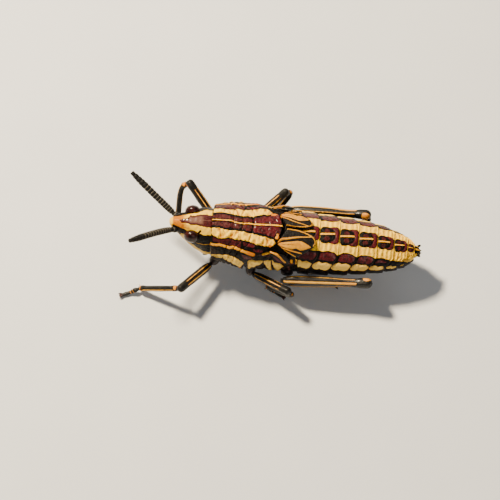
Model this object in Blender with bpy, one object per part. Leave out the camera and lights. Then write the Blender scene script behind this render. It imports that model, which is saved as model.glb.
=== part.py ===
"""A foam grasshopper nymph of the last instar, Dictyophorus griseus, life size, standing on its six feet.

Lengths below are millimetres in the animal's own frame: x runs from the tip of the head towards the tail, y to the
animal's right, z up from the floor. The animal faces -X of the model. MM turns them into Blender's metres.
"""

import math

import bmesh
import bpy
import numpy as np
from mathutils import Matrix, Vector

MM = 0.001
GAP = 0.3
ORIGIN = Vector((20.55, -0.15, 0.0))
SIDES = {"left": -1, "right": 1}

# The trunk behind the head: x, half width, height of the back, of the widest line and of the belly.
TRUNK = (
    (8.0, 4.9, 16.2, 10.2, 5.4),
    (10.5, 5.6, 16.4, 10.0, 4.8),
    (14.0, 6.2, 16.5, 9.9, 4.2),
    (18.0, 6.5, 16.4, 9.9, 3.8),
    (22.0, 6.4, 16.3, 9.6, 3.6),
    (26.0, 6.1, 15.9, 9.4, 3.6),
    (30.3, 5.95, 15.1, 9.3, 3.8),
    (36.0, 5.6, 14.3, 9.2, 4.3),
    (42.0, 4.85, 13.2, 9.0, 4.9),
    (45.4, 3.95, 12.3, 8.8, 5.2),
    (48.2, 2.75, 11.4, 8.8, 5.9),
    (50.0, 1.35, 10.3, 8.8, 7.1),
)
# How far the midline of the trunk is bent to the right, at each x.
SWAY = (
    (8.0, 0.45),
    (12.0, 0.45),
    (15.5, 0.15),
    (22.0, 0.22),
    (25.0, 0.05),
    (30.0, -0.1),
    (36.0, -0.03),
    (42.0, 0.05),
    (47.0, -0.05),
    (50.0, -0.05),
)
TRUNK_SIDES = 30
BELLY_SQUARENESS = 2.7

# The pronotum is a saddle whose hind edge sweeps from the end of its lobes back to the end of its disc.
PRONOTUM_FRONT = 8.6
LOBE_REAR = 15.3
DISC_REAR = 22.9
REAR_SWEEP = 1.8
PRONOTUM_RINGS = (0, 0.03, 0.14, 0.28, 0.32, 0.36, 0.41, 0.45, 0.49, 0.55, 0.59, 0.63, 0.76, 0.92, 1.0)
SULCI = (0.32, 0.45, 0.59)
SULCUS_DEPTH = 0.22
PRONOTUM_PROUD = 0.3
LOBE_HEM_ANGLE = 104
KEEL_HEIGHT = 0.16

PLEURA_RINGS = (0, 0.08, 0.3, 0.36, 0.42, 0.62, 0.68, 0.74, 0.95, 1.0)
PLEURA_SUTURES = (0.36, 0.68)
PLEURA_SUNK = 0.25
SUTURE_DEPTH = 0.16
THORAX_REAR = 26.4

TERGITE_ENDS = (30.3, 34.3, 38.2, 42.0, 45.4, 48.2, 49.7)
TERGITE_PROUD = 0.2
TERGITE_SUNK = 0.14
TERGITE_RINGS = ((0.03, -TERGITE_SUNK), (0.45, 0.02), (0.97, TERGITE_PROUD))
LAST_RING = ((0.0, 1.25, 10.1, 7.3), (0.45, 0.95, 9.9, 7.7), (0.9, 0.4, 9.4, 8.4))
CERCUS_WIDTHS = (0.3, 0.28, 0.1)
VALVE_WIDTHS = (0.3, 0.26, 0.08)
VALVES = ((8.75, 1.25), (8.0, 1.1))

# The head: x, half width, height of the crown, of the widest line and of the face or mouth below it.
HEAD = (
    (0.0, 0.55, 15.0, 14.6, 13.9),
    (0.7, 1.15, 15.3, 14.0, 12.3),
    (1.7, 1.75, 15.55, 13.3, 10.8),
    (3.1, 2.5, 15.85, 11.6, 8.8),
    (4.6, 3.3, 16.1, 10.6, 6.8),
    (6.0, 3.95, 16.25, 9.9, 5.6),
    (7.2, 4.4, 16.2, 9.5, 5.4),
    (8.8, 4.5, 16.0, 9.6, 6.0),
)
HEAD_REAR = 8.3
HEAD_SIDES = 26
HEAD_YAW = -1.5
NECK = Vector((8.4, 0.0, 11.0))
HEAD_SHIFT = Vector((0.0, 0.45, 0.0))
FACE_RIDGE = 0.3

EYE_CENTRE = Vector((4.6, 2.85, 14.1))
EYE_HALF = Vector((1.6, 1.2, 1.75))

ANTENNA_ROOT = Vector((1.5, 1.3, 13.6))
ANTENNA_KNEE = {"left": Vector((-0.9, -1.9, 15.0)), "right": Vector((-0.65, 3.1, 14.3))}
ANTENNA_TIP = {"left": Vector((-7.0, -6.8, 20.4)), "right": Vector((-8.45, 9.0, 17.2))}
ANTENNA_RADIUS = 0.66
SCAPE = ((0.0, 0.62), (0.07, 0.72), (0.1, 0.5), (0.13, 0.56), (0.16, 0.46))
FLAGELLUM_SEGMENTS = 16
SEGMENT_RINGS = ((0.25, 0.9), (0.92, 1.0))

MOUTH_PATHS = {
    "labrum": ((4.9, 0, 6.9), (5.4, 0, 6.0), (6.0, 0, 4.9), (6.5, 0, 4.1)),
    "mandible": ((6.2, 2.45, 6.8), (6.4, 2.5, 5.8), (6.8, 2.3, 5.0), (7.1, 1.9, 4.4)),
    "maxillary_palp": ((7.5, 2.2, 6.6), (7.7, 2.8, 5.4), (7.4, 3.1, 4.3), (6.6, 3.1, 3.6)),
    "labial_palp": ((7.8, 0.8, 6.2), (7.9, 1.0, 4.9), (7.6, 1.1, 4.1), (7.0, 1.1, 3.5)),
}
MOUTH_WIDTHS = {
    "labrum": ((1.3, 0.4), (1.35, 0.42), (1.3, 0.4), (0.8, 0.28)),
    "mandible": ((0.55, 0.55), (0.6, 0.55), (0.5, 0.45), (0.28, 0.28)),
    "maxillary_palp": ((0.3, 0.3), (0.28, 0.28), (0.3, 0.3), (0.16, 0.16)),
    "labial_palp": ((0.3, 0.3), (0.26, 0.26), (0.28, 0.28), (0.16, 0.16)),
}

# A wing pad is a fan of veins from its root, given by x, the angle round the trunk and the reach in each direction.
HIND_PAD = {
    "root": (22.3, 30.0),
    "reach": ((-66, 3.6), (-50, 4.5), (-34, 6.0), (-18, 7.35), (-9, 7.4), (3, 6.3), (18, 5.1), (38, 4.2)),
    "veins": (-64, -27, -11, 14, 24, 35),
    "under": 0.55,
    "thick": 0.55,
}
FORE_PAD = {
    "root": (20.4, 44.0),
    "reach": ((14, 3.2), (24, 4.6), (32, 5.0), (42, 4.2), (52, 2.8)),
    "veins": (22, 34),
    "under": 0.15,
    "thick": 0.55,
}
PAD_ARC = 6.9
VEIN_HEIGHT = 0.15
VEIN_HALF_ANGLE = 2.2
PAD_ROWS = (0.08, 0.34, 0.62, 0.86, 1.0)
PAD_FROM_MIDLINE = 0.32
# The right hind pad lies closer in than the left one: its reach along and round the trunk, as a share of the left's.
PAD_SHARE = {"hind_wing_pad_right": (0.88, 0.74)}

# Each leg: where its coxa enters the trunk, its hip, knee, ankle and the tips of its claws.
LEGS = {
    "left_fore": ((10.3, -2.6, 7.0), (9.0, -4.4, 5.1), (3.2, -11.4, 7.5), (-5.5, -10.1, 1.3), (-9.6, -11.7, 0.5)),
    "right_fore": ((10.3, 2.6, 7.0), (9.0, 4.4, 5.1), (2.9, 11.1, 8.5), (0.5, 5.4, 1.3), (3.4, 2.6, 0.5)),
    "left_mid": ((16.8, -3.6, 6.6), (16.8, -5.8, 4.6), (24.7, -10.3, 7.9), (20.6, -7.4, 1.3), (24.2, -9.2, 0.5)),
    "right_mid": ((16.8, 3.6, 6.6), (16.7, 5.9, 4.7), (22.6, 10.9, 8.4), (19.3, 6.9, 1.3), (22.5, 8.9, 0.5)),
    "left_hind": ((24.2, -3.9, 6.4), (24.3, -6.1, 6.2), (40.6, -7.4, 8.4), (29.6, -5.7, 1.7), (34.8, -5.8, 0.5)),
    "right_hind": ((24.2, 3.9, 6.4), (24.3, 6.1, 6.2), (39.4, 7.4, 8.4), (28.6, 5.7, 1.7), (33.8, 5.8, 0.5)),
}
HIND_THIGH_START = Vector((-0.8, 1.55, 0.25))
FORE_FEMUR = ((0.0, 0.5), (0.06, 0.7), (0.25, 0.9), (0.6, 0.92), (0.84, 0.8), (0.94, 0.92), (1.0, 0.92))
FORE_TIBIA = ((0.0, 0.55), (0.1, 0.66), (0.2, 0.58), (0.5, 0.62), (0.85, 0.6), (0.95, 0.68), (1.0, 0.5))
HIND_FEMUR_ACROSS = ((0.0, 0.6), (0.05, 0.95), (0.2, 1.12), (0.5, 1.05), (0.8, 0.85), (0.93, 1.05), (1.0, 1.05))
HIND_FEMUR_DEEP = ((0.0, 0.8), (0.05, 1.3), (0.2, 1.65), (0.5, 1.5), (0.8, 1.0), (0.93, 1.2), (1.0, 1.2))
HIND_TIBIA = ((0.0, 0.6), (0.08, 0.66), (0.2, 0.6), (0.6, 0.58), (0.9, 0.66), (0.96, 0.76), (1.0, 0.55))
KNOB = ((0.55, 0.88), (0.88, 0.5))
LIMB_SIDES = 8
JOINT_FACET = 0.7
HIP_FACET = 0.45
MOST_FACET_TURN = 72
KNEE_REACH = 2.2
ANKLE_REACH = 0.6
TARSUS = ((0.0, 0.36), (0.12, 0.46), (0.36, 0.5), (0.42, 0.38), (0.5, 0.47), (0.6, 0.36), (0.88, 0.42), (1.0, 0.32))
FOOT_HEIGHT = 0.42
CLAW = {"length": 0.95, "radius": 0.26, "spread": 28, "drop": 0.2}
SOLE_PAD = (0.42, 0.42, 0.36)
SPINES = {"count": 8, "first": 0.3, "last": 0.9, "length": 1.0, "radius": 0.27, "lean": 35, "splay": 38}
SPURS = {"length": 1.1, "radius": 0.27, "back": 0.55, "lean": 0.4, "hind": (0.7, 1.3), "other": (0.8,)}
THORN_TIP = 0.08


def clear_scene():
    for obj in list(bpy.data.objects):
        bpy.data.objects.remove(obj, do_unlink=True)


def make_material(name, colour, roughness):
    material = bpy.data.materials.new(name)
    material.use_nodes = True
    shader = material.node_tree.nodes["Principled BSDF"]
    shader.inputs["Base Color"].default_value = (*colour, 1)
    shader.inputs["Roughness"].default_value = roughness
    shader.inputs["Metallic"].default_value = 0.0
    return material


def curve_through(table, at):
    """Smooth columns through a table whose first column is the station, with no overshoot at a peak."""
    table = np.array(table, float)
    stations, values = table[:, 0], table[:, 1:]
    steps = np.diff(stations)[:, None]
    slopes = np.diff(values, axis=0) / steps
    tangents = np.zeros_like(values)
    tangents[0], tangents[-1] = slopes[0], slopes[-1]
    before, after = slopes[:-1], slopes[1:]
    same_way = before * after > 0
    tangents[1:-1] = np.where(same_way, 2 * before * after / np.where(same_way, before + after, 1), 0)
    at = np.clip(np.atleast_1d(at).astype(float), stations[0], stations[-1])
    i = np.clip(np.searchsorted(stations, at) - 1, 0, len(steps) - 1)
    u = ((at - stations[i]) / steps[i, 0])[:, None]
    h = steps[i]
    rise = u * u * (3 - 2 * u)
    lead = u * (1 - u) ** 2 * h * tangents[i]
    trail = u * u * (u - 1) * h * tangents[i + 1]
    return values[i] * (1 - rise) + values[i + 1] * rise + lead + trail


def power_of(value, squareness):
    return np.sign(value) * np.abs(value) ** (2 / squareness)


def section(profile, x, angle, proud=0.0, belly=BELLY_SQUARENESS):
    """Points of the cross-section at x: angle 0 is the back's midline, 90 degrees the right side."""
    half, top, widest, bottom = curve_through(profile, x).T
    s, c = np.sin(angle), np.cos(angle)
    squareness = np.where(c >= 0, 2.0, belly)
    y = (half + proud) * power_of(s, squareness)
    reach = np.where(c >= 0, top - widest, widest - bottom) + proud
    z = widest + reach * power_of(c, squareness)
    if profile is TRUNK:
        y = y + curve_through(SWAY, x)[:, 0]
    return np.stack([np.broadcast_to(x, y.shape), y, z], axis=-1)


def new_object(name, points, faces):
    mesh = bpy.data.meshes.new(name)
    mesh.from_pydata([tuple((Vector(p) - ORIGIN) * MM) for p in points], [], faces)
    mesh.update()
    obj = bpy.data.objects.new(name, mesh)
    bpy.context.scene.collection.objects.link(obj)
    return obj


def loft(name, rings, ends=None):
    """A closed body through rings of equal length. ends gives the middle point of each of its two end caps."""
    rings = np.array(rings, float)
    count, around = rings.shape[:2]
    ends = ends if ends is not None else (rings[0].mean(axis=0), rings[-1].mean(axis=0))
    points = [*rings.reshape(-1, 3), *ends]
    first, last = count * around, count * around + 1
    faces = []
    for k in range(around):
        n = (k + 1) % around
        for r in range(count - 1):
            a, b = r * around, (r + 1) * around
            faces.append((a + k, a + n, b + n, b + k))
        faces.append((first, n, k))
        faces.append((last, (count - 1) * around + k, (count - 1) * around + n))
    obj = new_object(name, points, faces)
    point_outwards(obj)
    return obj


def point_outwards(obj):
    mesh = bmesh.new()
    mesh.from_mesh(obj.data)
    bmesh.ops.triangulate(mesh, faces=[f for f in mesh.faces if len(f.verts) > 3])
    bmesh.ops.recalc_face_normals(mesh, faces=mesh.faces)
    if mesh.calc_volume(signed=True) < 0:
        bmesh.ops.reverse_faces(mesh, faces=mesh.faces)
    mesh.to_mesh(obj.data)
    mesh.free()


def tube(name, path, radii, across, sides=LIMB_SIDES, grow=0.0, first_way=None):
    """A closed limb along path. radii holds (half width along across, half depth) at each point."""
    path = [Vector(p) for p in path]
    tangents = [(path[min(i + 1, len(path) - 1)] - path[max(i - 1, 0)]).normalized() for i in range(len(path))]
    if first_way is not None:
        tangents[0] = first_way
    path[0] = path[0] - tangents[0] * grow
    path[-1] = path[-1] + tangents[-1] * grow
    rings = []
    for point, tangent, (wide, deep) in zip(path, tangents, radii):
        side = (Vector(across) - Vector(across).dot(tangent) * tangent).normalized()
        up = tangent.cross(side)
        ring = []
        for k in range(sides):
            turn = 2 * math.pi * (k + 0.5) / sides
            ring.append(point + side * math.cos(turn) * (wide + grow) + up * math.sin(turn) * (deep + grow))
        rings.append(ring)
    return loft(name, rings, (path[0], path[-1]))


def jointed(name, path, radii, across, onward, first_way=None):
    """A limb with a rounded end, cut flat where the next one meets it. Gives the limb and where the next starts."""
    way = (path[-1] - path[-2]).normalized()
    end = path[-1]
    wide, deep = radii[-1]
    for reach, width in KNOB:
        path = [*path, end + way * reach * deep]
        radii = [*radii, (wide * width, deep * width)]
    facet = JOINT_FACET * deep
    obj = tube(name, path, radii, across, first_way=first_way)
    slice_off(obj, end + onward * facet, onward)
    return obj, end + onward * (facet + GAP)


def bezier(start, lead, trail, end, at):
    """Points of a cubic curve from start to end at the shares in at."""
    start, lead, trail, end = (Vector(p) for p in (start, lead, trail, end))
    return [
        start * (1 - u) ** 3 + lead * 3 * u * (1 - u) ** 2 + trail * 3 * u * u * (1 - u) + end * u**3 for u in at
    ]


def ellipsoid(name, centre, half, grow=0.0, around=14, rings=8):
    centre = Vector(centre)
    made = []
    for r in range(1, rings):
        polar = math.pi * r / rings
        made.append(
            [
                centre
                + Vector(
                    (
                        (half[0] + grow) * math.sin(polar) * math.cos(2 * math.pi * k / around),
                        (half[1] + grow) * math.sin(polar) * math.sin(2 * math.pi * k / around),
                        (half[2] + grow) * math.cos(polar),
                    )
                )
                for k in range(around)
            ]
        )
    poles = (centre + Vector((0, 0, half[2] + grow)), centre - Vector((0, 0, half[2] + grow)))
    return loft(name, made, poles)


def apply_boolean(obj, operation, others):
    """Joins or cuts obj by a collection of closed meshes, then removes them."""
    group = bpy.data.collections.new(obj.name + "_" + operation)
    for other in others:
        group.objects.link(other)
    modifier = obj.modifiers.new(operation, "BOOLEAN")
    modifier.operation = operation
    modifier.solver = "EXACT"
    modifier.operand_type = "COLLECTION"
    modifier.collection = group
    bpy.context.view_layer.update()
    evaluated = obj.evaluated_get(bpy.context.evaluated_depsgraph_get())
    mesh = bpy.data.meshes.new_from_object(evaluated)
    obj.modifiers.clear()
    obj.data = mesh
    for other in list(group.objects):
        bpy.data.objects.remove(other, do_unlink=True)
    bpy.data.collections.remove(group)
    keep_largest(obj)
    return obj


def shell_volume(faces):
    return sum(
        loop[0].vert.co.dot(loop[i].vert.co.cross(loop[i + 1].vert.co)) / 6
        for loop in (list(f.loops) for f in faces)
        for i in range(1, len(loop) - 1)
    )


def keep_largest(obj):
    """Keeps the largest closed surface of a node, which drops a loose scrap or a sealed hollow."""
    mesh = bmesh.new()
    mesh.from_mesh(obj.data)
    unseen = set(mesh.faces)
    shells = []
    while unseen:
        shell, edge_of_search = set(), [next(iter(unseen))]
        while edge_of_search:
            face = edge_of_search.pop()
            if face in unseen:
                unseen.discard(face)
                shell.add(face)
                edge_of_search += [f for e in face.edges for f in e.link_faces if f in unseen]
        shells.append(shell)
    if len(shells) > 1:
        largest = max(shells, key=shell_volume)
        bmesh.ops.delete(mesh, geom=[f for s in shells if s is not largest for f in s], context="FACES")
    mesh.to_mesh(obj.data)
    mesh.free()


def union(obj, others):
    return apply_boolean(obj, "UNION", others)


def cut(obj, others):
    return apply_boolean(obj, "DIFFERENCE", others)


def slice_off(obj, point, normal):
    """Removes what lies beyond the plane through point, and closes the cut with a flat face."""
    mesh = bmesh.new()
    mesh.from_mesh(obj.data)
    where = (Vector(point) - ORIGIN) * MM
    geometry = mesh.verts[:] + mesh.edges[:] + mesh.faces[:]
    made = bmesh.ops.bisect_plane(mesh, geom=geometry, dist=1e-7, plane_co=where, plane_no=normal, clear_outer=True)
    rim = [e for e in made["geom_cut"] if isinstance(e, bmesh.types.BMEdge)]
    bmesh.ops.contextual_create(mesh, geom=rim)
    mesh.to_mesh(obj.data)
    mesh.free()
    point_outwards(obj)
    return obj


def head_turn():
    """The turn and shift that set the head, and all that it carries, in line with the bent front of the trunk."""
    turn = Matrix.Rotation(math.radians(-HEAD_YAW), 4, "Z")
    return Matrix.Translation(NECK + HEAD_SHIFT) @ turn @ Matrix.Translation(-NECK)


def turn_head(*objects):
    into_animal = Matrix.Translation(-ORIGIN * MM) @ Matrix.Scale(MM, 4)
    placed = into_animal @ head_turn() @ into_animal.inverted()
    for obj in objects:
        obj.data.transform(placed)


def finish(obj, material):
    obj.data.materials.clear()
    obj.data.materials.append(material)
    obj.data.shade_smooth()
    obj.data.set_sharp_from_angle(angle=math.radians(40))


def ring_angles(sides):
    return 2 * np.pi * np.arange(sides) / sides


def pronotum_rear(angle):
    """x of the pronotum's hind edge at each angle round the trunk."""
    upper = np.clip(np.cos(angle), 0, 1)
    return LOBE_REAR + (DISC_REAR - LOBE_REAR) * upper**REAR_SWEEP


def off_midline(angle):
    """Angle from the back's midline, 0 to 180 degrees, either side."""
    return np.degrees(np.abs((angle + np.pi) % (2 * np.pi) - np.pi))


def make_pronotum():
    """The saddle and the front of the thorax under it, with three sulci, a midline keel and a hem on the lobes."""
    angle = ring_angles(TRUNK_SIDES)
    away = off_midline(angle)
    keel = np.where(away < 1, KEEL_HEIGHT, 0.0)
    plate = np.where(away < LOBE_HEM_ANGLE, PRONOTUM_PROUD, -PLEURA_SUNK)
    rings = []
    for share in PRONOTUM_RINGS:
        x = PRONOTUM_FRONT + share * (pronotum_rear(angle) - PRONOTUM_FRONT)
        groove = SULCUS_DEPTH if share in SULCI else 0.0
        rings.append(section(TRUNK, x, angle, plate + keel - groove * (away < LOBE_HEM_ANGLE)))
    ends = ((PRONOTUM_FRONT, SWAY[0][1], 10.0), (LOBE_REAR, 0, 9.0))
    return loft("pronotum", rings, ends)


def make_pterothorax():
    """The middle and hind thorax with their slanted side sutures."""
    angle = ring_angles(TRUNK_SIDES)
    front = pronotum_rear(angle) + GAP
    rings = []
    for share in PLEURA_RINGS:
        x = front + share * (THORAX_REAR - front)
        groove = SUTURE_DEPTH if share in PLEURA_SUTURES else 0.0
        rings.append(section(TRUNK, x, angle, -PLEURA_SUNK - groove))
    ends = ((LOBE_REAR + GAP, 0, 9.0), (THORAX_REAR, 0, 9.0))
    return loft("pterothorax", rings, ends)


def make_abdomen():
    """Seven overlapping rings, each with its hind edge standing over the front of the next."""
    angle = ring_angles(TRUNK_SIDES)
    rings = []
    front = THORAX_REAR + GAP
    for rear in TERGITE_ENDS:
        length = rear - front
        for share, proud in TERGITE_RINGS:
            rings.append(section(TRUNK, np.full(TRUNK_SIDES, front + share * length), angle, proud))
        front = rear
    return loft("abdomen", rings)


def make_terminalia():
    """The small last ring with its pointed plate, two cerci and the four short valves of a young female."""
    start = TERGITE_ENDS[-1] + GAP - 0.1
    angle = ring_angles(12)
    rings = []
    for x, half, top, bottom in LAST_RING:
        middle = (top + bottom) / 2
        rings.append([(start + x, half * math.sin(a), middle + (top - middle) * math.cos(a)) for a in angle])
    plate = loft("terminalia", rings)
    extras = []
    for side in (-1, 1):
        path = [(start + 0.2, side * 0.7, 9.2), (start + 0.6, side * 1.15, 9.3), (start + 1.05, side * 1.3, 9.35)]
        extras.append(tube("cercus", path, [(r, r) for r in CERCUS_WIDTHS], (0, 0, 1), sides=6))
        for low, reach in VALVES:
            path = [(start + along, side * 0.32, low) for along in (0.2, 0.7, reach)]
            extras.append(tube("valve", path, [(r, r) for r in VALVE_WIDTHS], (0, 0, 1), sides=6))
    return union(plate, extras)


def pad_frame(side, x, arc, proud):
    """A point over the trunk at arc length arc from the back's midline on one side."""
    angle = np.array([side * arc / PAD_ARC])
    return section(TRUNK, np.array([x]), angle, proud)[0]


def make_wing_pad(name, side, pad):
    """A thick leaf over the trunk, its main veins raised in its upper face as rays from its root."""
    root_x, root_angle = pad["root"]
    root_arc = math.radians(root_angle) * PAD_ARC
    onward, around = PAD_SHARE.get(name, (1.0, 1.0))
    low, high = pad["reach"][0][0], pad["reach"][-1][0]
    marks = {low, high}
    for vein in pad["veins"]:
        marks |= {vein - VEIN_HALF_ANGLE, vein, vein + VEIN_HALF_ANGLE}
    marks |= set(np.linspace(low, high, 9))
    directions = [d for d in sorted(marks) if low <= d <= high]
    directions = [d for i, d in enumerate(directions) if i == 0 or d - directions[i - 1] > 0.9]
    top, bottom = [], []
    for direction in directions:
        reach = curve_through(pad["reach"], direction)[0, 0]
        raised = VEIN_HEIGHT if min(abs(direction - v) for v in pad["veins"]) < 1 else 0.0
        for share in PAD_ROWS:
            x = root_x + onward * share * reach * math.cos(math.radians(direction))
            arc = root_arc + share * reach * math.sin(math.radians(direction))
            arc = max(around * arc, PAD_FROM_MIDLINE)
            top.append(pad_frame(side, x, arc, pad["under"] + pad["thick"] + raised * (1 - share**4)))
            bottom.append(pad_frame(side, x, arc, pad["under"]))
    columns, rows = len(directions), len(PAD_ROWS)
    base = columns * rows
    faces = []
    for i in range(columns - 1):
        for j in range(rows - 1):
            a, b = i * rows + j, (i + 1) * rows + j
            faces += [(a, b, b + 1), (a, b + 1, a + 1)]
            faces += [(base + a, base + b + 1, base + b), (base + a, base + a + 1, base + b + 1)]
    rim = [i * rows + rows - 1 for i in range(columns)]
    rim += [(columns - 1) * rows + j for j in range(rows - 2, -1, -1)]
    rim += [i * rows for i in range(columns - 2, -1, -1)]
    rim += list(range(1, rows - 1))
    for a, b in zip(rim, rim[1:] + rim[:1]):
        faces += [(a, b, base + b), (a, base + b, base + a)]
    obj = new_object(name, top + bottom, faces)
    point_outwards(obj)
    return obj


def make_head():
    """The capsule: a cone with a slanted face, a blunt peak over the feelers and a ridge down the face."""
    angle = ring_angles(HEAD_SIDES)
    away = off_midline(angle)
    ridge = np.where(away > 179, FACE_RIDGE, np.where(away > 165, 0.5 * FACE_RIDGE, 0.0))
    rings = [section(HEAD, np.full(HEAD_SIDES, row[0]), angle, ridge * min(1, row[0]), 2.3) for row in HEAD]
    return loft("head", rings)


def eye(side, grow=0.0):
    centre = Vector((EYE_CENTRE.x, EYE_CENTRE.y * SIDES[side], EYE_CENTRE.z))
    return ellipsoid("eye_" + side, centre, EYE_HALF, grow)


def antenna_path(side, shares):
    sign = SIDES[side]
    root = Vector((ANTENNA_ROOT.x, ANTENNA_ROOT.y * sign, ANTENNA_ROOT.z))
    knee, tip = (head_turn().inverted() @ p for p in (ANTENNA_KNEE[side], ANTENNA_TIP[side]))
    return bezier(root, knee, knee.lerp(tip, 0.45), tip, shares)


def antenna(side, grow=0.0):
    """A thick feeler: a stout first segment, a ring, then a beaded flagellum that thins to its tip."""
    shares, radii = [s for s, _ in SCAPE], [r for _, r in SCAPE]
    start = SCAPE[-1][0]
    for k in range(FLAGELLUM_SEGMENTS):
        middle = (k + 0.5) / FLAGELLUM_SEGMENTS
        full = ANTENNA_RADIUS * min(0.86 + 0.8 * middle, 1.0, 0.58 + 1.5 * (1 - middle))
        for share, width in SEGMENT_RINGS:
            shares.append(start + (1 - start) * (k + share) / FLAGELLUM_SEGMENTS)
            radii.append(full * width)
    if grow:
        shares, radii = shares[: len(SCAPE)], radii[: len(SCAPE)]
    path = antenna_path(side, shares)
    return tube("antenna_" + side, path, [(r, 0.9 * r) for r in radii], (0, 0, 1), sides=7, grow=grow)


def mouthpart(name, side, grow=0.0):
    """One piece round the mouth. Left and right are mirror images, and the upper lip is on the midline."""
    sign = SIDES.get(side, 1)
    path = [(x, y * sign, z) for x, y, z in MOUTH_PATHS[name]]
    across = (0, 1, 0) if name == "labrum" else (1, 0, 0)
    whole = name if side is None else f"{name}_{side}"
    return tube(whole, path, MOUTH_WIDTHS[name], across, sides=10 if name == "labrum" else 8, grow=grow)


def thigh_start(name):
    """Where the thigh begins: past the flat end of the coxa, and beside it on a hind leg."""
    _, hip, knee, _, _ = (Vector(p) for p in LEGS[name])
    if name.endswith("hind"):
        offset = HIND_THIGH_START
        return hip + Vector((offset.x, offset.y * math.copysign(1, hip.y), offset.z))
    return hip + (knee - hip).normalized() * (HIP_FACET + GAP)


def coxa(name, grow=0.0):
    """The short stout first segment, set in a socket of the trunk, with a flat face towards the thigh."""
    root, hip, knee = (Vector(p) for p in LEGS[name][:3])
    way = (hip - root).normalized()
    if name.endswith("hind"):
        path = [root.lerp(hip, u) for u in (0.0, 0.35, 0.75, 1.0)]
        sizes = (1.15, 1.25, 1.25, 1.05)
    else:
        path = [root.lerp(hip, u) for u in (0.0, 0.35, 0.8)] + [hip + way * 0.35, hip + way * 0.7]
        sizes = (1.0, 1.08, 1.0, 0.85, 0.5)
    obj = tube("coxa_" + name, path, [(k, k) for k in sizes], (1, 0, 0), grow=grow)
    if name.endswith("hind") or grow:
        return obj
    onward = (knee - hip).normalized()
    return slice_off(obj, hip + onward * HIP_FACET, onward)


def facet_way(along, onward):
    """Direction in which a joint's flat faces look: towards the next segment, but never folded back too far."""
    along, onward = along.normalized(), onward.normalized()
    turn = math.degrees(along.angle(onward))
    if turn <= MOST_FACET_TURN:
        return onward
    aside = (onward - onward.dot(along) * along).normalized()
    most = math.radians(MOST_FACET_TURN)
    return along * math.cos(most) + aside * math.sin(most)


def leg_plane(name):
    """The direction across a leg, square to the plane of its thigh and shin."""
    _, hip, knee, ankle, _ = (Vector(p) for p in LEGS[name])
    if name.endswith("hind"):
        return Vector((0, 1, 0))
    return (knee - hip).cross(ankle - knee).normalized()


def make_femur(name):
    """The thigh, from the trochanter to the rounded knee. Gives the way on to the shin and where that starts."""
    knee, ankle = (Vector(p) for p in LEGS[name][2:4])
    hind = name.endswith("hind")
    start = thigh_start(name)
    way = (knee - start).normalized()
    across = HIND_FEMUR_ACROSS if hind else FORE_FEMUR
    deep = HIND_FEMUR_DEEP if hind else FORE_FEMUR
    path = [start.lerp(knee, row[0]) for row in across]
    radii = [(a[1], d[1]) for a, d in zip(across, deep)]
    onward = facet_way(way, ankle - knee)
    obj, shin_start = jointed("femur_" + name, path, radii, leg_plane(name), onward)
    return obj, onward, shin_start


def shin_path(name, onward, start, shares):
    ankle = Vector(LEGS[name][3])
    way = (ankle - start).normalized()
    return bezier(start, start + onward * KNEE_REACH, ankle - way * 3.5, ankle, shares)


def make_tibia(name, onward, start):
    """The shin, with two rows of spines and four spurs on a hind leg and two spurs on the others."""
    hind = name.endswith("hind")
    table = HIND_TIBIA if hind else FORE_TIBIA
    path = shin_path(name, onward, start, [row[0] for row in table])
    across = leg_plane(name)
    way = (path[-1] - path[-2]).normalized()
    tip = Vector(LEGS[name][4])
    foot_way = Vector((tip.x - path[-1].x, tip.y - path[-1].y, 0))
    down = facet_way(way, foot_way)
    obj, foot_start = jointed("tibia_" + name, path, [(r, r) for _, r in table], across, down, onward)
    side = (across - across.dot(way) * way).normalized()
    back = side.cross(way)
    if back.dot(path[2] - Vector(LEGS[name][2])) < 0:
        back = -back
    thorns = []
    if hind:
        lean, splay = math.radians(SPINES["lean"]), math.radians(SPINES["splay"])
        for row in (-1, 1):
            out = back * math.cos(splay) + side * row * math.sin(splay)
            for k in range(SPINES["count"]):
                at = SPINES["first"] + (SPINES["last"] - SPINES["first"]) * k / (SPINES["count"] - 1)
                root = shin_path(name, onward, start, [at])[0] + out * 0.2
                thorns.append(thorn(root, out * math.cos(lean) + way * math.sin(lean), SPINES))
    clear = (down.dot(way) * way - down).normalized()
    for row in (-1, 1):
        for aside in SPURS["hind" if hind else "other"]:
            root = path[-1] - way * SPURS["back"] + side * row * 0.15
            thorns.append(thorn(root, way + side * row * aside + clear * SPURS["lean"] / aside, SPURS))
    return union(obj, thorns), down, foot_start


def thorn(root, aim, size):
    """A tapered spine of five sides."""
    aim = aim.normalized()
    radius = size["radius"]
    across = Vector((0, 0, 1)) if abs(aim.z) < 0.8 else Vector((1, 0, 0))
    path = [root, root + aim * size["length"]]
    return tube("thorn", path, ((radius, radius), (THORN_TIP, THORN_TIP)), across, sides=5)


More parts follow.
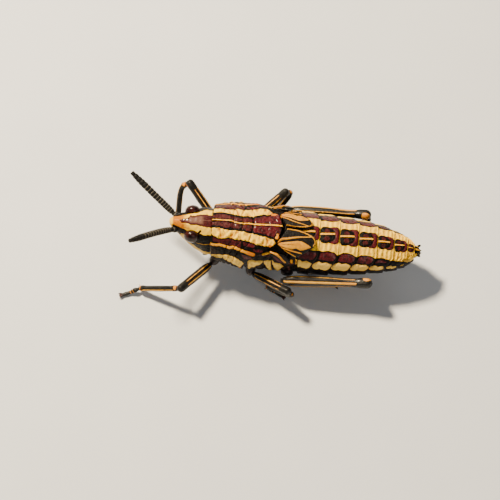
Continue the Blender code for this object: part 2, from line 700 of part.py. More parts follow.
def make_tarsus(name, down, start):
    """Padded foot segments, a pair of claws and the pad between them, flattened where they meet the floor."""
    tip = Vector(LEGS[name][4])
    flat_way = Vector((tip.x - start.x, tip.y - start.y, 0)).normalized()
    end = Vector((tip.x, tip.y, FOOT_HEIGHT)) - flat_way * 0.5
    low = Vector((start.x, start.y, FOOT_HEIGHT)) + flat_way * 1.2
    path = bezier(start, start + down * ANKLE_REACH, low, end, [row[0] for row in TARSUS])
    across = flat_way.cross(Vector((0, 0, 1)))
    obj = tube("tarsus_" + name, path, [(r, r) for _, r in TARSUS], across, sides=8, first_way=down)
    extras = [ellipsoid("pad", end + flat_way * 0.3, SOLE_PAD, around=8, rings=4)]
    for row in (-1, 1):
        spread = math.radians(CLAW["spread"])
        aim = flat_way * math.cos(spread) + across * row * math.sin(spread)
        root = end - flat_way * 0.1 + across * row * 0.12 + Vector((0, 0, 0.12))
        extras.append(thorn(root, aim - Vector((0, 0, CLAW["drop"])), CLAW))
    union(obj, extras)
    return slice_off(obj, (0, 0, 0), Vector((0, 0, -1)))


def build_head(skin, dark, glossy):
    head = make_head()
    cutters = []
    for side in SIDES:
        cutters += [eye(side, GAP), antenna(side, GAP)]
        cutters += [mouthpart(n, side, GAP) for n in ("mandible", "maxillary_palp", "labial_palp")]
    cutters.append(mouthpart("labrum", None, GAP))
    cut(head, cutters)
    finish(head, skin)
    turned = [head]
    for side in SIDES:
        for piece, material in ((eye(side), glossy), (antenna(side), dark)):
            finish(piece, material)
            turned.append(piece)
        for name in ("mandible", "maxillary_palp", "labial_palp"):
            piece = mouthpart(name, side)
            finish(piece, dark)
            turned.append(piece)
    lip = mouthpart("labrum", None)
    finish(lip, skin)
    turn_head(*turned, lip)
    slice_off(head, (HEAD_REAR, 0, 0), Vector((1, 0, 0)))


def build_trunk(skin, pad_skin):
    pronotum, pterothorax = make_pronotum(), make_pterothorax()
    cut(pronotum, [coxa(name, GAP) for name in LEGS if name.endswith("fore")])
    cut(pterothorax, [coxa(name, GAP) for name in LEGS if not name.endswith("fore")])
    for piece in (pronotum, pterothorax, make_abdomen(), make_terminalia()):
        finish(piece, skin)
    for side, sign in SIDES.items():
        finish(make_wing_pad("hind_wing_pad_" + side, sign, HIND_PAD), pad_skin)
        finish(make_wing_pad("fore_wing_pad_" + side, sign, FORE_PAD), pad_skin)


def build_legs(dark):
    for name in LEGS:
        finish(coxa(name), dark)
        femur, onward, shin_start = make_femur(name)
        finish(femur, dark)
        tibia, down, foot_start = make_tibia(name, onward, shin_start)
        finish(tibia, dark)
        finish(make_tarsus(name, down, foot_start), dark)


def main():
    clear_scene()
    skin = make_material("striped_cuticle", (0.78, 0.58, 0.27), 0.45)
    pad_skin = make_material("wing_pad_cuticle", (0.62, 0.38, 0.16), 0.5)
    dark = make_material("dark_cuticle", (0.035, 0.032, 0.032), 0.4)
    glossy = make_material("eye_surface", (0.06, 0.02, 0.018), 0.12)
    build_head(skin, dark, glossy)
    build_trunk(skin, pad_skin)
    build_legs(dark)


main()
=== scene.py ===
import functools
import math

import bpy
import numpy as np
from mathutils import Matrix, Vector


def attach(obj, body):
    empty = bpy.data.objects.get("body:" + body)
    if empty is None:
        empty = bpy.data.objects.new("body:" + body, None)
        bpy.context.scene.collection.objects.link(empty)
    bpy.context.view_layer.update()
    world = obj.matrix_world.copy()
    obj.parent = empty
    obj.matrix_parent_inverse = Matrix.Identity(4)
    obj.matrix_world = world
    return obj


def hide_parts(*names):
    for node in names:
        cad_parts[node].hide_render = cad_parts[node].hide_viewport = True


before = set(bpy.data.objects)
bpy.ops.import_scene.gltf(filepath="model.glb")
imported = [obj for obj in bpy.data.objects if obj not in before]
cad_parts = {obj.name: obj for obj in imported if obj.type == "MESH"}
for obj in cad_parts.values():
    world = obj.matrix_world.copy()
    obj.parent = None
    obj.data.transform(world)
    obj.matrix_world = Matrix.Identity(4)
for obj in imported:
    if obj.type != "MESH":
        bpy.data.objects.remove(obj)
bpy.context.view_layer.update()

# The abdomen is seven overlapping rings of horn, each ring's hind edge standing over the front of the next.
# Its cream bands are soft folded skin. Its dark plates are harder, with rims and a glossy arc.
# Lengths are millimetres in the animal's own frame: x from the head's tip to the tail, y to its right, z up.

ORIGIN = Vector((20.55, -0.15, 0.0))
# The trunk's x, half width, top, height of the widest place, and bottom.
TRUNK = (
    (8.0, 4.9, 16.2, 10.2, 5.4), (10.5, 5.6, 16.4, 10.0, 4.8), (14.0, 6.2, 16.5, 9.9, 4.2),
    (18.0, 6.5, 16.4, 9.9, 3.8), (22.0, 6.4, 16.3, 9.6, 3.6), (26.0, 6.1, 15.9, 9.4, 3.6),
    (30.3, 5.95, 15.1, 9.3, 3.8), (36.0, 5.6, 14.3, 9.2, 4.3), (42.0, 4.85, 13.2, 9.0, 4.9),
    (45.4, 3.95, 12.3, 8.8, 5.2), (48.2, 2.75, 11.4, 8.8, 5.9), (50.0, 1.35, 10.3, 8.8, 7.1),
)
# How far the bent midline lies to the right at each x.
SWAY = ((8.0, 0.45), (12.0, 0.45), (15.5, 0.15), (22.0, 0.22), (25.0, 0.05), (30.0, -0.1), (36.0, -0.03),
        (42.0, 0.05), (47.0, -0.05), (50.0, -0.05))
RINGS = np.array((26.4, 30.3, 34.3, 38.2, 42.0, 45.4, 48.2, 49.7))


def curve_through(table, at):
    """Smooth columns through a table whose first column is the station, with no overshoot at a peak."""
    table = np.array(table, float)
    stations, values = table[:, 0], table[:, 1:]
    steps = np.diff(stations)[:, None]
    slopes = np.diff(values, axis=0) / steps
    tangents = np.zeros_like(values)
    tangents[0], tangents[-1] = slopes[0], slopes[-1]
    before, after = slopes[:-1], slopes[1:]
    same_way = before * after > 0
    tangents[1:-1] = np.where(same_way, 2 * before * after / np.where(same_way, before + after, 1), 0)
    at = np.clip(np.atleast_1d(at).astype(float).ravel(), stations[0], stations[-1])
    i = np.clip(np.searchsorted(stations, at) - 1, 0, len(steps) - 1)
    u = ((at - stations[i]) / steps[i, 0])[:, None]
    h = steps[i]
    rise = u * u * (3 - 2 * u)
    lead = u * (1 - u) ** 2 * h * tangents[i]
    trail = u * u * (u - 1) * h * tangents[i + 1]
    return values[i] * (1 - rise) + values[i + 1] * rise + lead + trail


def along(table, x):
    """One smooth number through a table of pairs, at every x of an array of any shape."""
    x = np.asarray(x, float)
    return curve_through(table, x)[:, 0].reshape(x.shape)


def section(profile, x, turn, proud=0.0, belly=2.7):
    """Points of the skin at each x and turn: turn 0 is the back's midline, 90 degrees the right side."""
    half, top, widest, bottom = (c.reshape(x.shape) for c in curve_through(profile, x).T)
    s, c = np.sin(np.radians(turn)), np.cos(np.radians(turn))
    squareness = np.where(c >= 0, 2.0, belly)
    y = (half + proud) * np.sign(s) * np.abs(s) ** (2 / squareness)
    if profile is TRUNK:
        y = y + along(SWAY, x)
    reach = np.where(c >= 0, top - widest, widest - bottom) + proud
    z = widest + reach * np.sign(c) * np.abs(c) ** (2 / squareness)
    return np.stack([x + 0 * y, y, z], axis=-1)


def new_piece(name, points, faces, fields, material):
    """A smooth closed mesh of points in millimetres, with a number of each field at every point."""
    points = (np.asarray(points, float) - np.array(ORIGIN)) * 0.001
    volume = 0.0
    for f in faces:
        for i in range(1, f.shape[1] - 1):
            a, b, c = points[f[:, 0]], points[f[:, i]], points[f[:, i + 1]]
            volume += float(np.einsum("ij,ij->", a, np.cross(b, c)))
    if volume < 0:
        faces = [f[:, ::-1] for f in faces]
    mesh = bpy.data.meshes.new(name)
    mesh.from_pydata(points.tolist(), [], [row for f in faces for row in f.tolist()])
    for key, values in fields.items():
        attribute = mesh.attributes.new(key, "FLOAT", "POINT")
        attribute.data.foreach_set("value", np.asarray(values, np.float32).ravel())
    mesh.materials.append(material)
    mesh.shade_smooth()
    mesh.update()
    return show(name, mesh)


def show(name, data):
    """A new object of the scene."""
    made = bpy.data.objects.new(name, data)
    bpy.context.scene.collection.objects.link(made)
    return made


def skin(name, grid, fields, material, ends=None):
    """A closed skin over rings of points. Open ends close to their rings' middles or to two given points."""
    rows, around = grid.shape[:2]
    k = np.arange(around)
    n = (k + 1) % around
    r = np.arange(rows - 1)[:, None] * around
    quads = np.stack([r + k, r + n, r + around + n, r + around + k], -1).reshape(-1, 4)
    first, last, top = rows * around, rows * around + 1, (rows - 1) * around
    caps = np.concatenate([
        np.stack([np.full(around, first), n, k], -1),
        np.stack([np.full(around, last), top + k, top + n], -1),
    ])
    ends = (grid[0].mean(axis=0), grid[-1].mean(axis=0)) if ends is None else ends
    points = np.concatenate([grid.reshape(-1, 3), np.array(ends, float)])
    full = {}
    for key, values in fields.items():
        values = np.broadcast_to(np.asarray(values, float), (rows, around))
        full[key] = np.concatenate([values.ravel(), [values[0].mean(), values[-1].mean()]])
    return new_piece(name, points, [quads, caps], full, material)


def stand_for(piece, node):
    """Sets a piece on the one rigid body, in place of its solid."""
    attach(piece, "root")
    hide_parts(node)


def least(*depths):
    """The depth inside all of several areas at once."""
    return functools.reduce(np.minimum, depths)


def most(*depths):
    """The depth inside any of several areas."""
    return functools.reduce(np.maximum, depths)


def between(value, low, high):
    """How deep a value lies between two limits."""
    return np.minimum(value - low, high - value)


def corner(one, other, radius):
    """The depth inside two edges that meet in a rounded corner."""
    round_part = radius - np.hypot(np.maximum(radius - one, 0), np.maximum(radius - other, 0))
    return np.where((one > radius) & (other > radius), np.minimum(one, other), round_part)


def oval_depth(run, middle, reach, around, half):
    """The depth in mm inside an oval, for distances along it and round it."""
    return (1 - np.hypot((run - middle) / reach, around / half)) * np.minimum(reach, half)


def bump(value, middle, width):
    return np.exp(-(((value - middle) / width) ** 2))


def ease(value, low, high):
    u = np.clip((value - low) / (high - low), 0, 1)
    return u * u * (3 - 2 * u)


def ripple(u, v, seed):
    """Smooth uneven waves over a surface, about -1 to 1, the same each time."""
    rng = np.random.default_rng(seed)
    total = 0.0
    for _ in range(7):
        fu, fv, phase = rng.uniform(0.5, 1.9), rng.uniform(-1.9, 1.9), rng.uniform(0, 6.3)
        total = total + np.sin(fu * u * 2.2 + fv * v * 2.2 + phase)
    return total / 3.2


def horn_fields(**given):
    """Every field that the striped horn reads: depths inside three colours, and shares from 0 to 1."""
    fields = {key: given.get(key, -1.0) for key in ("cream", "maroon", "ochre")}
    for key in ("bright", "bloom", "warm", "soil", "flank"):
        fields[key] = np.clip(given.get(key, 0.0), 0, 1)
    return fields


class Tone:
    """One socket of a material. Sums on tones add Math nodes, and node() adds a node of any other kind."""

    def __init__(self, tree, socket=None):
        self.tree, self.socket = tree, socket

    def fill(self, node, sockets):
        """Sets a node's sockets to numbers or colours, or links tones to them."""
        for key, value in sockets.items():
            if isinstance(value, Tone):
                self.tree.links.new(value.socket, node.inputs[key])
            else:
                node.inputs[key].default_value = value

    def node(self, kind, settings=None, sockets=None, output=0):
        made = self.tree.nodes.new("ShaderNode" + kind)
        for key, value in (settings or {}).items():
            setattr(made, key, value)
        self.fill(made, sockets or {})
        return Tone(self.tree, made.outputs[output])

    def math(self, operation, *values):
        return self.node("Math", {"operation": operation}, dict(enumerate(values)))

    def __add__(self, other):
        return self.math("ADD", self, other)

    def __sub__(self, other):
        return self.math("SUBTRACT", self, other)

    def __rsub__(self, other):
        return self.math("SUBTRACT", other, self)

    def __mul__(self, other):
        return self.math("MULTIPLY", self, other)

    __radd__, __rmul__ = __add__, __mul__

    def step(self, low, high):
        """0 below low and 1 above high, with a smooth rise between."""
        sockets = {"Value": self, "From Min": low, "From Max": high}
        return self.node("MapRange", {"interpolation_type": "SMOOTHSTEP"}, sockets)

    def field(self, name):
        return self.node("Attribute", {"attribute_name": name}, output=2)

    def mix(self, share, one, other):
        """The colour one where share is 0, other where it is 1."""
        sockets = {}
        for key, value in ((0, share), (6, one), (7, other)):
            sockets[key] = (*value, 1) if isinstance(value, tuple) else value
        return self.node("Mix", {"data_type": "RGBA"}, sockets, output=2)

    def pattern(self, kind, per_mm, **sockets):
        """A texture on the Object coordinates, with so many grains in a millimetre."""
        where = self.node("TexCoord", output=3)
        return self.node(kind, None, {"Vector": where, "Scale": per_mm * 1000.0, **sockets})

    def noise(self, per_mm, detail, roughness=0.5):
        return self.pattern("TexNoise", per_mm, Detail=detail, Roughness=roughness)

    def cells(self, per_mm):
        return self.pattern("TexVoronoi", per_mm)

    def relief(self, strength, depth, height):
        return self.node("Bump", None, {"Strength": strength, "Distance": depth, "Height": height})


def new_material(name):
    """An empty finish: gives its tones, its shader node and the material."""
    material = bpy.data.materials.new(name)
    material.use_nodes = True
    tree = material.node_tree
    return Tone(tree), tree.nodes["Principled BSDF"], material


def striped_horn():
    """Horny skin in black, maroon, cream and ochre. Its fields are depths in mm inside each colour."""
    tone, shader, material = new_material("striped_horn")
    wobble = (tone.noise(1.5, 3.0) - 0.5) * 0.3
    cream = (tone.field("cream") + wobble).step(-0.03, 0.03)
    maroon = (tone.field("maroon") + wobble * 1.3).step(-0.08, 0.08)
    ochre = (tone.field("ochre") + wobble * 0.35).step(-0.03, 0.03)
    light_part = cream.math("MAXIMUM", cream, ochre)
    bloom, warm = tone.field("bloom"), tone.field("warm")
    mottle, fine = tone.noise(0.9, 4.0, 0.6), tone.noise(5.0, 3.0, 0.6)
    black = tone.mix(mottle.step(0.4, 0.8), (0.001, 0.0008, 0.0006), (0.006, 0.004, 0.003))
    dull_maroon = tone.mix(fine.step(0.3, 0.75), (0.03, 0.004, 0.004), (0.08, 0.011, 0.013))
    red_maroon = tone.mix(fine.step(0.3, 0.8), (0.062, 0.0045, 0.007), (0.13, 0.01, 0.016))
    wine = tone.mix(tone.field("bright"), dull_maroon, red_maroon)
    cloud = tone.noise(1.3, 4.0, 0.65).step(0.46, 0.66)
    wine = tone.mix(cloud * 0.8, wine, (0.01, 0.003, 0.003))
    # Where that field is high the maroon turns a paler grey: a painted sheen on the head's wedge and the
    # saddle's front, and a pale tone on the head's midline and the lower thorax.
    wine = tone.mix(bloom, wine, (0.15, 0.07, 0.05))
    pale = tone.mix(mottle.step(0.3, 0.8), (0.98, 0.63, 0.035), (0.88, 0.48, 0.02))
    # Painted shade: the cream on the flanks is a duller, slightly darker copy of itself, as it looks in
    # shade.
    pale = tone.mix(tone.field("flank"), pale, (0.86, 0.55, 0.1))
    # Painted shade: the cream turns a darker ochre along its edges.
    rim = 1 - tone.field("cream").step(0.0, 0.32)
    pale = tone.mix(rim * 0.3, pale, (0.66, 0.26, 0.008))
    pale = tone.mix(warm, pale, (0.42, 0.13, 0.0))
    gold = tone.mix(warm, (0.75, 0.35, 0.01), (0.56, 0.16, 0.0))
    colour = tone.mix(ochre, tone.mix(cream, tone.mix(maroon, black, wine), pale), gold)
    pits, leather = tone.cells(3.2).step(0.05, 0.5), tone.noise(2.2, 5.0, 0.62)
    height = pits * (1 - light_part) * 0.5 + leather * 0.9 + fine * 0.18 + light_part * 0.35
    tone.fill(shader, {
        # The colour is darkened towards deep brown where that field is high: low on the sides and underside,
        # low at the saddle's front, and at the front of each plate of the abdomen.
        "Base Color": tone.mix(tone.field("soil"), colour, (0.04, 0.017, 0.008)),
        "Roughness": 0.33 + light_part * 0.14 + fine * 0.14 - bloom * 0.04,
        "Normal": tone.relief(0.7, 0.0002, height),
        "Specular IOR Level": 0.08,
        "Coat Weight": maroon * (1 - light_part) * (1 - bloom) * 0.28 + 0.03,
        "Coat Roughness": 0.14,
    })
    return material


horn = striped_horn()
# The back has finer steps than the belly.
turns = np.concatenate([np.linspace(-116, 116, 259), np.linspace(119, 241, 41)])
turn_row = ((turns + 180) % 360 - 180)[None, :]
away = np.abs(turn_row)

shares = np.concatenate([np.linspace(0.0, 0.86, 26), np.linspace(0.88, 0.97, 6), [0.982, 0.99, 0.996]])
stations = np.concatenate([[25.6, 25.9, 26.2]] + [a + shares * (b - a) for a, b in zip(RINGS, RINGS[1:])])
x = stations[:, None] + 0 * away
a = away + 0 * x
# The rings' edges sweep forward on the flanks.
swept = x + np.clip(0.042 * (a - 42), 0, 1.7)
k = np.clip(np.searchsorted(RINGS, swept, side="right") - 1, 0, 6)
length = RINGS[k + 1] - RINGS[k]
share = np.clip((swept - RINGS[k]) / length, 0, 1)
run = share * length
# Millimetres round the trunk in one degree.
degree = 0.018 * along([row[:2] for row in TRUNK], x)
side_top = along((
    (26, 33), (29.5, 34), (30.3, 32.5), (31, 34), (32.3, 32), (33.5, 34), (34.3, 39.5), (35, 35), (36, 33),
    (37, 35), (38.2, 41), (39, 36), (40, 36), (41, 38), (41.9, 43), (43, 40.5), (44, 43.5), (45, 49),
    (46, 52), (47, 55), (48, 65), (49, 77), (49.8, 80),
), x)
plate_width = np.array((14.0, 17.6, 18.6, 18.6, 18.9, 22.5, 24))[k]
plate_width = plate_width * (1 - 0.1 * bump(share, 0.48, 0.09)) + 1.0 * (share - 0.4) * (k < 5)
box = corner((plate_width - a) * degree, between(run, 0.1, length - 0.08), 0.7)
box = np.where(x > 48.9, np.minimum(box, 0.3), box)
core = oval_depth(run, 0.48 * length, 0.31 * length, a * degree, (plate_width - 3.2) * degree)
arc = least(box - 0.14, -core, (share - 0.5) * length * 0.7)
inner_around, inner_half = (a - 0.46 * plate_width) * degree, 0.27 * plate_width * degree
inner = oval_depth(run, 0.36 * length, 0.14 * length, inner_around, inner_half)
side_low = along(((26, 56), (31, 53), (36, 55), (41, 58), (45, 62), (50, 64)), x)
side_box = corner(between(a, side_top + 2.7, side_low - 0.5) * degree, between(run, 0.4, length - 0.4), 0.4)
side_box = side_box - 0.4 * ease(x, 41.5, 43)
low_top = along(((26, 59), (31, 58), (36, 58), (39, 60), (42, 65), (46, 70), (49, 74)), x)
low_top = low_top + 1.2 * np.sin(run * 4.2 + 1)
low_end = along(((26, 77), (30, 79), (34, 81), (38, 83), (42, 84), (49, 88)), x) - 1.0 * np.sin(run * 3.4)
lump = corner(between(a, low_top, low_end) * degree, between(run, 0.1, length - 0.25), 0.8)
lump = lump - 0.3 * bump(share, 0.47, 0.045) * ease(a, 64, 72) - 0.12 * ease(x, 41, 46) - 0.03
upper_pale = np.minimum(-box, (side_top - a) * degree)
belly_pale = between(a, 117, 127) * degree - 0.15 + 0.3 * (x > 50)
fold = np.cos(2 * np.pi * (share * 4 - 0.1 + 0.12 * ripple(x * 0.7, a / 14, 19)))
fold = fold + 0.4 * ripple(x * 1.5, a / 9, 12)
from_line = np.abs(turn_row - 0.3 - 3.4 * share)
# Painted shade: the cream turns ochre in the troughs of its folds and at the front of each ring, under the
# edge of the ring before.
warm = 0.42 * ease(-fold, -0.2, 1.2) * (a < 62) + 0.2 * bump(share, 0.03, 0.04)
fields = horn_fields(
    cream=np.where(x < 26.3, -1, most(upper_pale, lump, belly_pale)),
    maroon=most(arc, inner, side_box),
    bright=ease(arc, -0.1, 0.05) * (0.75 + 0.25 * ripple(x * 2, a / 6, 8)) + 0.6 * ease(side_box, -0.1, 0.2),
    flank=ease(a, 48, 62),
    ochre=np.minimum((1.8 - from_line) * degree, between(run, 0.02, 0.76 * length)),
    warm=warm + 0.1 * ease(x, 46, 49) * (a < 60),
    soil=0.5 * bump(share, 0.0, 0.025) * (box > 0) + 0.3 * (a > 84) * ease(ripple(x, a / 12, 4), 0, 1),
)
on_pale = ease(upper_pale, 0.0, 0.3)
proud = 0.17 * ease(share, 0.05, 0.95) - 0.13 * (1 - ease(share, 0.0, 0.25)) - 0.15 * ease(share, 0.975, 1.0)
proud = proud + 0.1 * fold * on_pale - 0.03 * on_pale + 0.05 * ease(box, 0, 0.25)
proud = proud + 0.03 * ease(arc, -0.05, 0.3) - 0.06 * bump(core, 0.05, 0.12) * (share > 0.5)
proud = proud + 0.1 * ease(lump, -0.05, 0.4) + 0.03 * ripple(x * 3, a / 5, 15) * ease(side_box, -0.1, 0.2)
proud = proud + 0.04 * ease(fields["ochre"], -0.1, 0.1) + 0.025 * ripple(x * 1.5, a / 8, 2)
proud = np.where(x < 26.4, -0.5, proud)
abdomen = skin("abdomen_rings", section(TRUNK, x, turns[None, :], proud), fields, horn)
stand_for(abdomen, "abdomen")

# The tip of the abdomen is a small pointed plate over two short cerci and the four valves of a young female.
# All are hard horn, cream and ochre with dark points, and grow out of the last ring.

TIP_X, TIP_Y = 49.9, 0.15


def frames_along(path, across):
    """The side direction and the up direction at each point of a path."""
    ways = np.gradient(path, axis=0)
    ways /= np.linalg.norm(ways, axis=1)[:, None]
    across = np.array(across, float)
    side = across - (ways @ across)[:, None] * ways
    side /= np.linalg.norm(side, axis=1)[:, None]
    return side, np.cross(ways, side)


def circle(count):
    return 2 * np.pi * np.arange(count) / count


def limb_grid(path, wide, deep, across, sides, shape=1.0):
    """Rings of points round a path. shape gives how far each point stands out, as a share of the oval."""
    path = np.asarray(path, float)
    side, up = frames_along(path, across)
    turn = circle(sides)
    out = side[:, None] * (np.cos(turn) * wide[:, None] * shape)[..., None]
    out = out + up[:, None] * (np.sin(turn) * deep[:, None] * shape)[..., None]
    return path[:, None] + out


def tube(name, path, width, across, sides, fields, material):
    """A closed round tube of changing width along a path."""
    return skin(name, limb_grid(path, width, width, across, sides), fields, material, (path[0], path[-1]))


def bezier(start, lead, trail, end, at):
    """Points of a cubic curve from start to end at the shares in at."""
    u = np.asarray(at, float)[:, None]
    start, lead, trail, end = (np.array(p, float) for p in (start, lead, trail, end))
    return start * (1 - u) ** 3 + lead * 3 * u * (1 - u) ** 2 + trail * 3 * u * u * (1 - u) + end * u**3


def join_pieces(name, pieces):
    """Puts the meshes of some pieces into the first of them, under a new name."""
    with bpy.context.temp_override(active_object=pieces[0], selected_editable_objects=pieces):
        bpy.ops.object.join()
    pieces[0].name = name
    pieces[0].data.name = name
    return pieces[0]


# Distance from the last ring, half width, top and bottom of the plate.
TIP_PLATE = ((-0.5, 1.15, 10.0, 7.4), (0.0, 1.25, 10.1, 7.3), (0.25, 1.13, 10.05, 7.45),
             (0.45, 0.95, 9.9, 7.7), (0.7, 0.68, 9.7, 8.0), (0.86, 0.42, 9.5, 8.3), (0.9, 0.2, 9.3, 8.6))
turn = circle(48)
at = np.linspace(-0.5, 0.9, 26)
half, top, bottom = curve_through(TIP_PLATE, at).T
middle = (top + bottom) / 2
grid = np.stack([
    (TIP_X + at)[:, None] + 0 * turn,
    TIP_Y + half[:, None] * np.sin(turn),
    middle[:, None] + (top - middle)[:, None] * np.cos(turn),
], axis=-1)
from_top = np.degrees(np.abs((turn + np.pi) % (2 * np.pi) - np.pi))[None, :]
cream = between(from_top, 42, 80) * 0.02 - 0.3 * ease(at, 0.2, 0.6)[:, None]
pieces = [skin("tip_plate", grid, horn_fields(cream=cream, ochre=(9 - from_top) * 0.02), horn)]
at = np.linspace(0, 1, 16)
cercus_width = along(((0, 0.3), (0.5, 0.27), (0.8, 0.19), (1.0, 0.03)), at)
valve_width = along(((0, 0.34), (0.55, 0.28), (0.85, 0.16), (1.0, 0.02)), at)
for sign in (-1, 1):
    stops = ((-0.1, 0.6, 9.2), (0.5, 0.95, 9.25), (0.8, 1.15, 9.3), (1.05, 1.25, 9.35))
    path = bezier(*((TIP_X + p, TIP_Y + sign * q, r) for p, q, r in stops), at)
    fields = horn_fields(cream=(0.35 - at)[:, None])
    pieces.append(tube("cercus", path, cercus_width, (0, 0, 1), 18, fields, horn))
    for low, reach, bend in ((8.75, 1.25, 0.14), (8.0, 1.1, -0.12)):
        stops = ((0, 0.32, low), (0.4, 0.34, low), (0.8, 0.3, low), (reach, 0.27, low + bend))
        path = bezier(*((TIP_X + p, TIP_Y + sign * q, r) for p, q, r in stops), at)
        fields = horn_fields(cream=(0.25 - at)[:, None], warm=0.3)
        pieces.append(tube("valve", path, valve_width, (0, 0, 1), 18, fields, horn))
terminalia = join_pieces("tip_plate_cerci_and_valves", pieces)
stand_for(terminalia, "terminalia")

# The middle and hind thorax are plates of horn joined along slanted sutures, below the saddle and the pads.
# They are black with cream patches, a thin ochre stripe and two yellow dots, and carry two pairs of legs.

MM_A_DEGREE = 0.11


def to_edge(px, py, ex, ey):
    """The distance of points (px, py) from the straight edge between (0, 0) and (ex, ey)."""
    u = np.clip((px * ex + py * ey) / (ex * ex + ey * ey), 0, 1)
    return np.hypot(px - u * ex, py - u * ey)


def patch(x, a, points, grow=0.0):
    """The depth inside a many-sided patch given by corners (x, degrees), in millimetres."""
    corners = np.array(points, float) * (1, MM_A_DEGREE)
    y = a * MM_A_DEGREE
    inside = np.zeros(np.shape(x), bool)
    nearest = np.full(np.shape(x), 9.0)
    for (x0, y0), (x1, y1) in zip(corners, np.roll(corners, -1, axis=0)):
        nearest = np.minimum(nearest, to_edge(x - x0, y - y0, x1 - x0, y1 - y0))
        inside ^= ((y0 > y) != (y1 > y)) & (x < (x1 - x0) * (y - y0) / (y1 - y0 + 1e-12) + x0)
    return np.where(inside, nearest, -nearest) + grow


def line(x, a, points, half):
    """The depth inside a stripe along corners (x, degrees), with half its width given, in millimetres."""
    nearest = np.full(np.shape(x), 9.0)
    for (x0, a0), (x1, a1) in zip(points, points[1:]):
        away_from = to_edge(x - x0, (a - a0) * MM_A_DEGREE, x1 - x0, (a1 - a0) * MM_A_DEGREE)
        nearest = np.minimum(nearest, away_from)
    return half - nearest


def hind_edge(turn):
    """x of the saddle's hind edge at each turn round the trunk."""
    return along(((0, 22.9), (10, 22.75), (20, 22.3), (30, 21.7), (36, 21.05), (42, 20.1), (50, 18.8),
                  (60, 17.5), (75, 16.0), (90, 15.3)), np.abs(turn))


share = np.concatenate([[-0.16, -0.1], np.linspace(-0.05, 0.96, 96), [0.98, 0.995, 1.0]])[:, None]
edge_x = hind_edge(turns)[None, :]
x = edge_x + 0.3 + share * (26.9 - edge_x - 0.3)
a = away + 0 * x
cream = most(
    patch(x, a, ((16.6, 72), (19.3, 70), (19.3, 76), (18.6, 86), (17.6, 94), (17.0, 96), (16.9, 110),
                 (16.3, 110), (16.3, 76))),
    patch(x, a, ((19.4, 70), (20.9, 69), (21.0, 90), (21.3, 108), (20.8, 110), (20.2, 95), (19.7, 85))),
    patch(x, a, ((21.1, 66), (21.7, 74), (22.8, 75), (23.2, 82), (23.6, 88), (23.0, 95), (22.4, 110),
                 (22.1, 110), (21.9, 100), (21.4, 85), (21.2, 75))),
    patch(x, a, ((25.8, 57), (26.2, 60), (26.2, 73), (25.8, 74)), -0.05),
)
ochre = most(
    line(x, a, ((19.3, 54.5), (20.1, 51), (20.9, 49)), 0.27),
    line(x, a, ((24.3, 64), (24.35, 68.5)), 0.2),
    line(x, a, ((25.05, 63.5), (25.1, 68.5)), 0.24),
)
maroon = most(
    patch(x, a, ((24.2, 70), (25.9, 70), (25.2, 76), (24.4, 75))),
    patch(x, a, ((18.2, 52), (20.9, 54), (20.6, 60), (18.5, 60)), -0.1),
    line(x, a, ((24.6, 84), (24.7, 110)), 0.25),
)
fields = horn_fields(
    cream=cream,
    ochre=ochre,
    maroon=maroon,
    warm=0.55 * ease(x, 23, 24.5) * bump(a, 66, 4) + 0.3 * ease(ripple(x * 1.6, a / 8, 9), 0.0, 1),
    bloom=0.35 * (a > 80) * (x > 24),
    flank=ease(a, 55, 66),
    soil=0.35 * (a > 92) * ease(ripple(x, a / 12, 5), 0, 1),
)
sutures = bump(share, 0.36, 0.03) + bump(share, 0.68, 0.03)
proud = -0.25 - 0.2 * sutures * ease(a, 40, 52) + 0.18 * ease(cream, -0.05, 0.35)
proud = proud + 0.16 * ease(ochre, -0.1, 0.2) + 0.07 * ripple(x * 1.7, a / 8, 7) * ease(a, 45, 60)
# The back stands up under the roots of the wing pads.
proud = proud + 0.5 * (1 - ease(a, 24, 34)) * ease(x, 22.9, 23.4)
proud = proud - 0.25 * (share < 0) - 0.35 * ease(share, 0.97, 1.0)
grid = section(TRUNK, x, turns[None, :], proud)
pterothorax = skin("middle_and_hind_thorax", grid, fields, horn, ((15.8, 0.2, 9.0), (26.9, 0.1, 9.0)))
stand_for(pterothorax, "pterothorax")

# The pronotum is a saddle of thick horn over the front of the thorax, open below, with a low keel on its
# midline and three cross furrows. Its cream bands stand proud and run from the neck to the swept hind edge.

front_rim, hind_rim = [0.0, 0.004, 0.012, 0.025], [0.975, 0.985, 0.993, 0.998, 1.0]
share = np.concatenate([front_rim, np.linspace(0.04, 0.965, 150), hind_rim])[:, None]
x = 8.6 + share * (hind_edge(turns)[None, :] - 8.6)
a = away + 0 * x
signed = turn_row + 0 * x
on_left = signed < 0
# The edges of the stripes in degrees at each x.
LEFT_IN = (
    (8.6, 17.5), (10, 15.2), (11, 16.4), (12, 17.6), (13, 16.4), (14, 15.5), (15, 14.7), (16, 16.4),
    (17, 16.9), (18, 18.6), (19, 19.3), (20, 21.6), (21, 24), (21.7, 28.5), (22.5, 32),
)
RIGHT_IN = (
    (8.6, 19), (10, 19), (11, 18), (12, 15.5), (13, 14.7), (14, 13.8), (15, 15.5), (16, 14.7), (17, 15.5),
    (18, 19), (19, 21), (20, 21.5), (20.6, 25), (22.5, 32),
)
LEFT_OUT = (
    (8.6, 28.5), (9.3, 33), (10, 34.8), (11, 34.5), (12, 31), (13, 31), (14, 30.7), (15, 29.3), (16, 30.2),
    (17, 31.9), (18, 34.5), (19, 35.3), (20, 36.2), (21, 37), (21.6, 33), (22, 28),
)
RIGHT_OUT = (
    (8.6, 31), (10, 29.3), (11, 27.6), (12, 25), (13, 27.6), (14, 29), (15, 28.4), (16, 30), (17, 31.9),
    (18, 34.5), (19, 35.3), (20, 31), (20.5, 26), (21, 22),
)
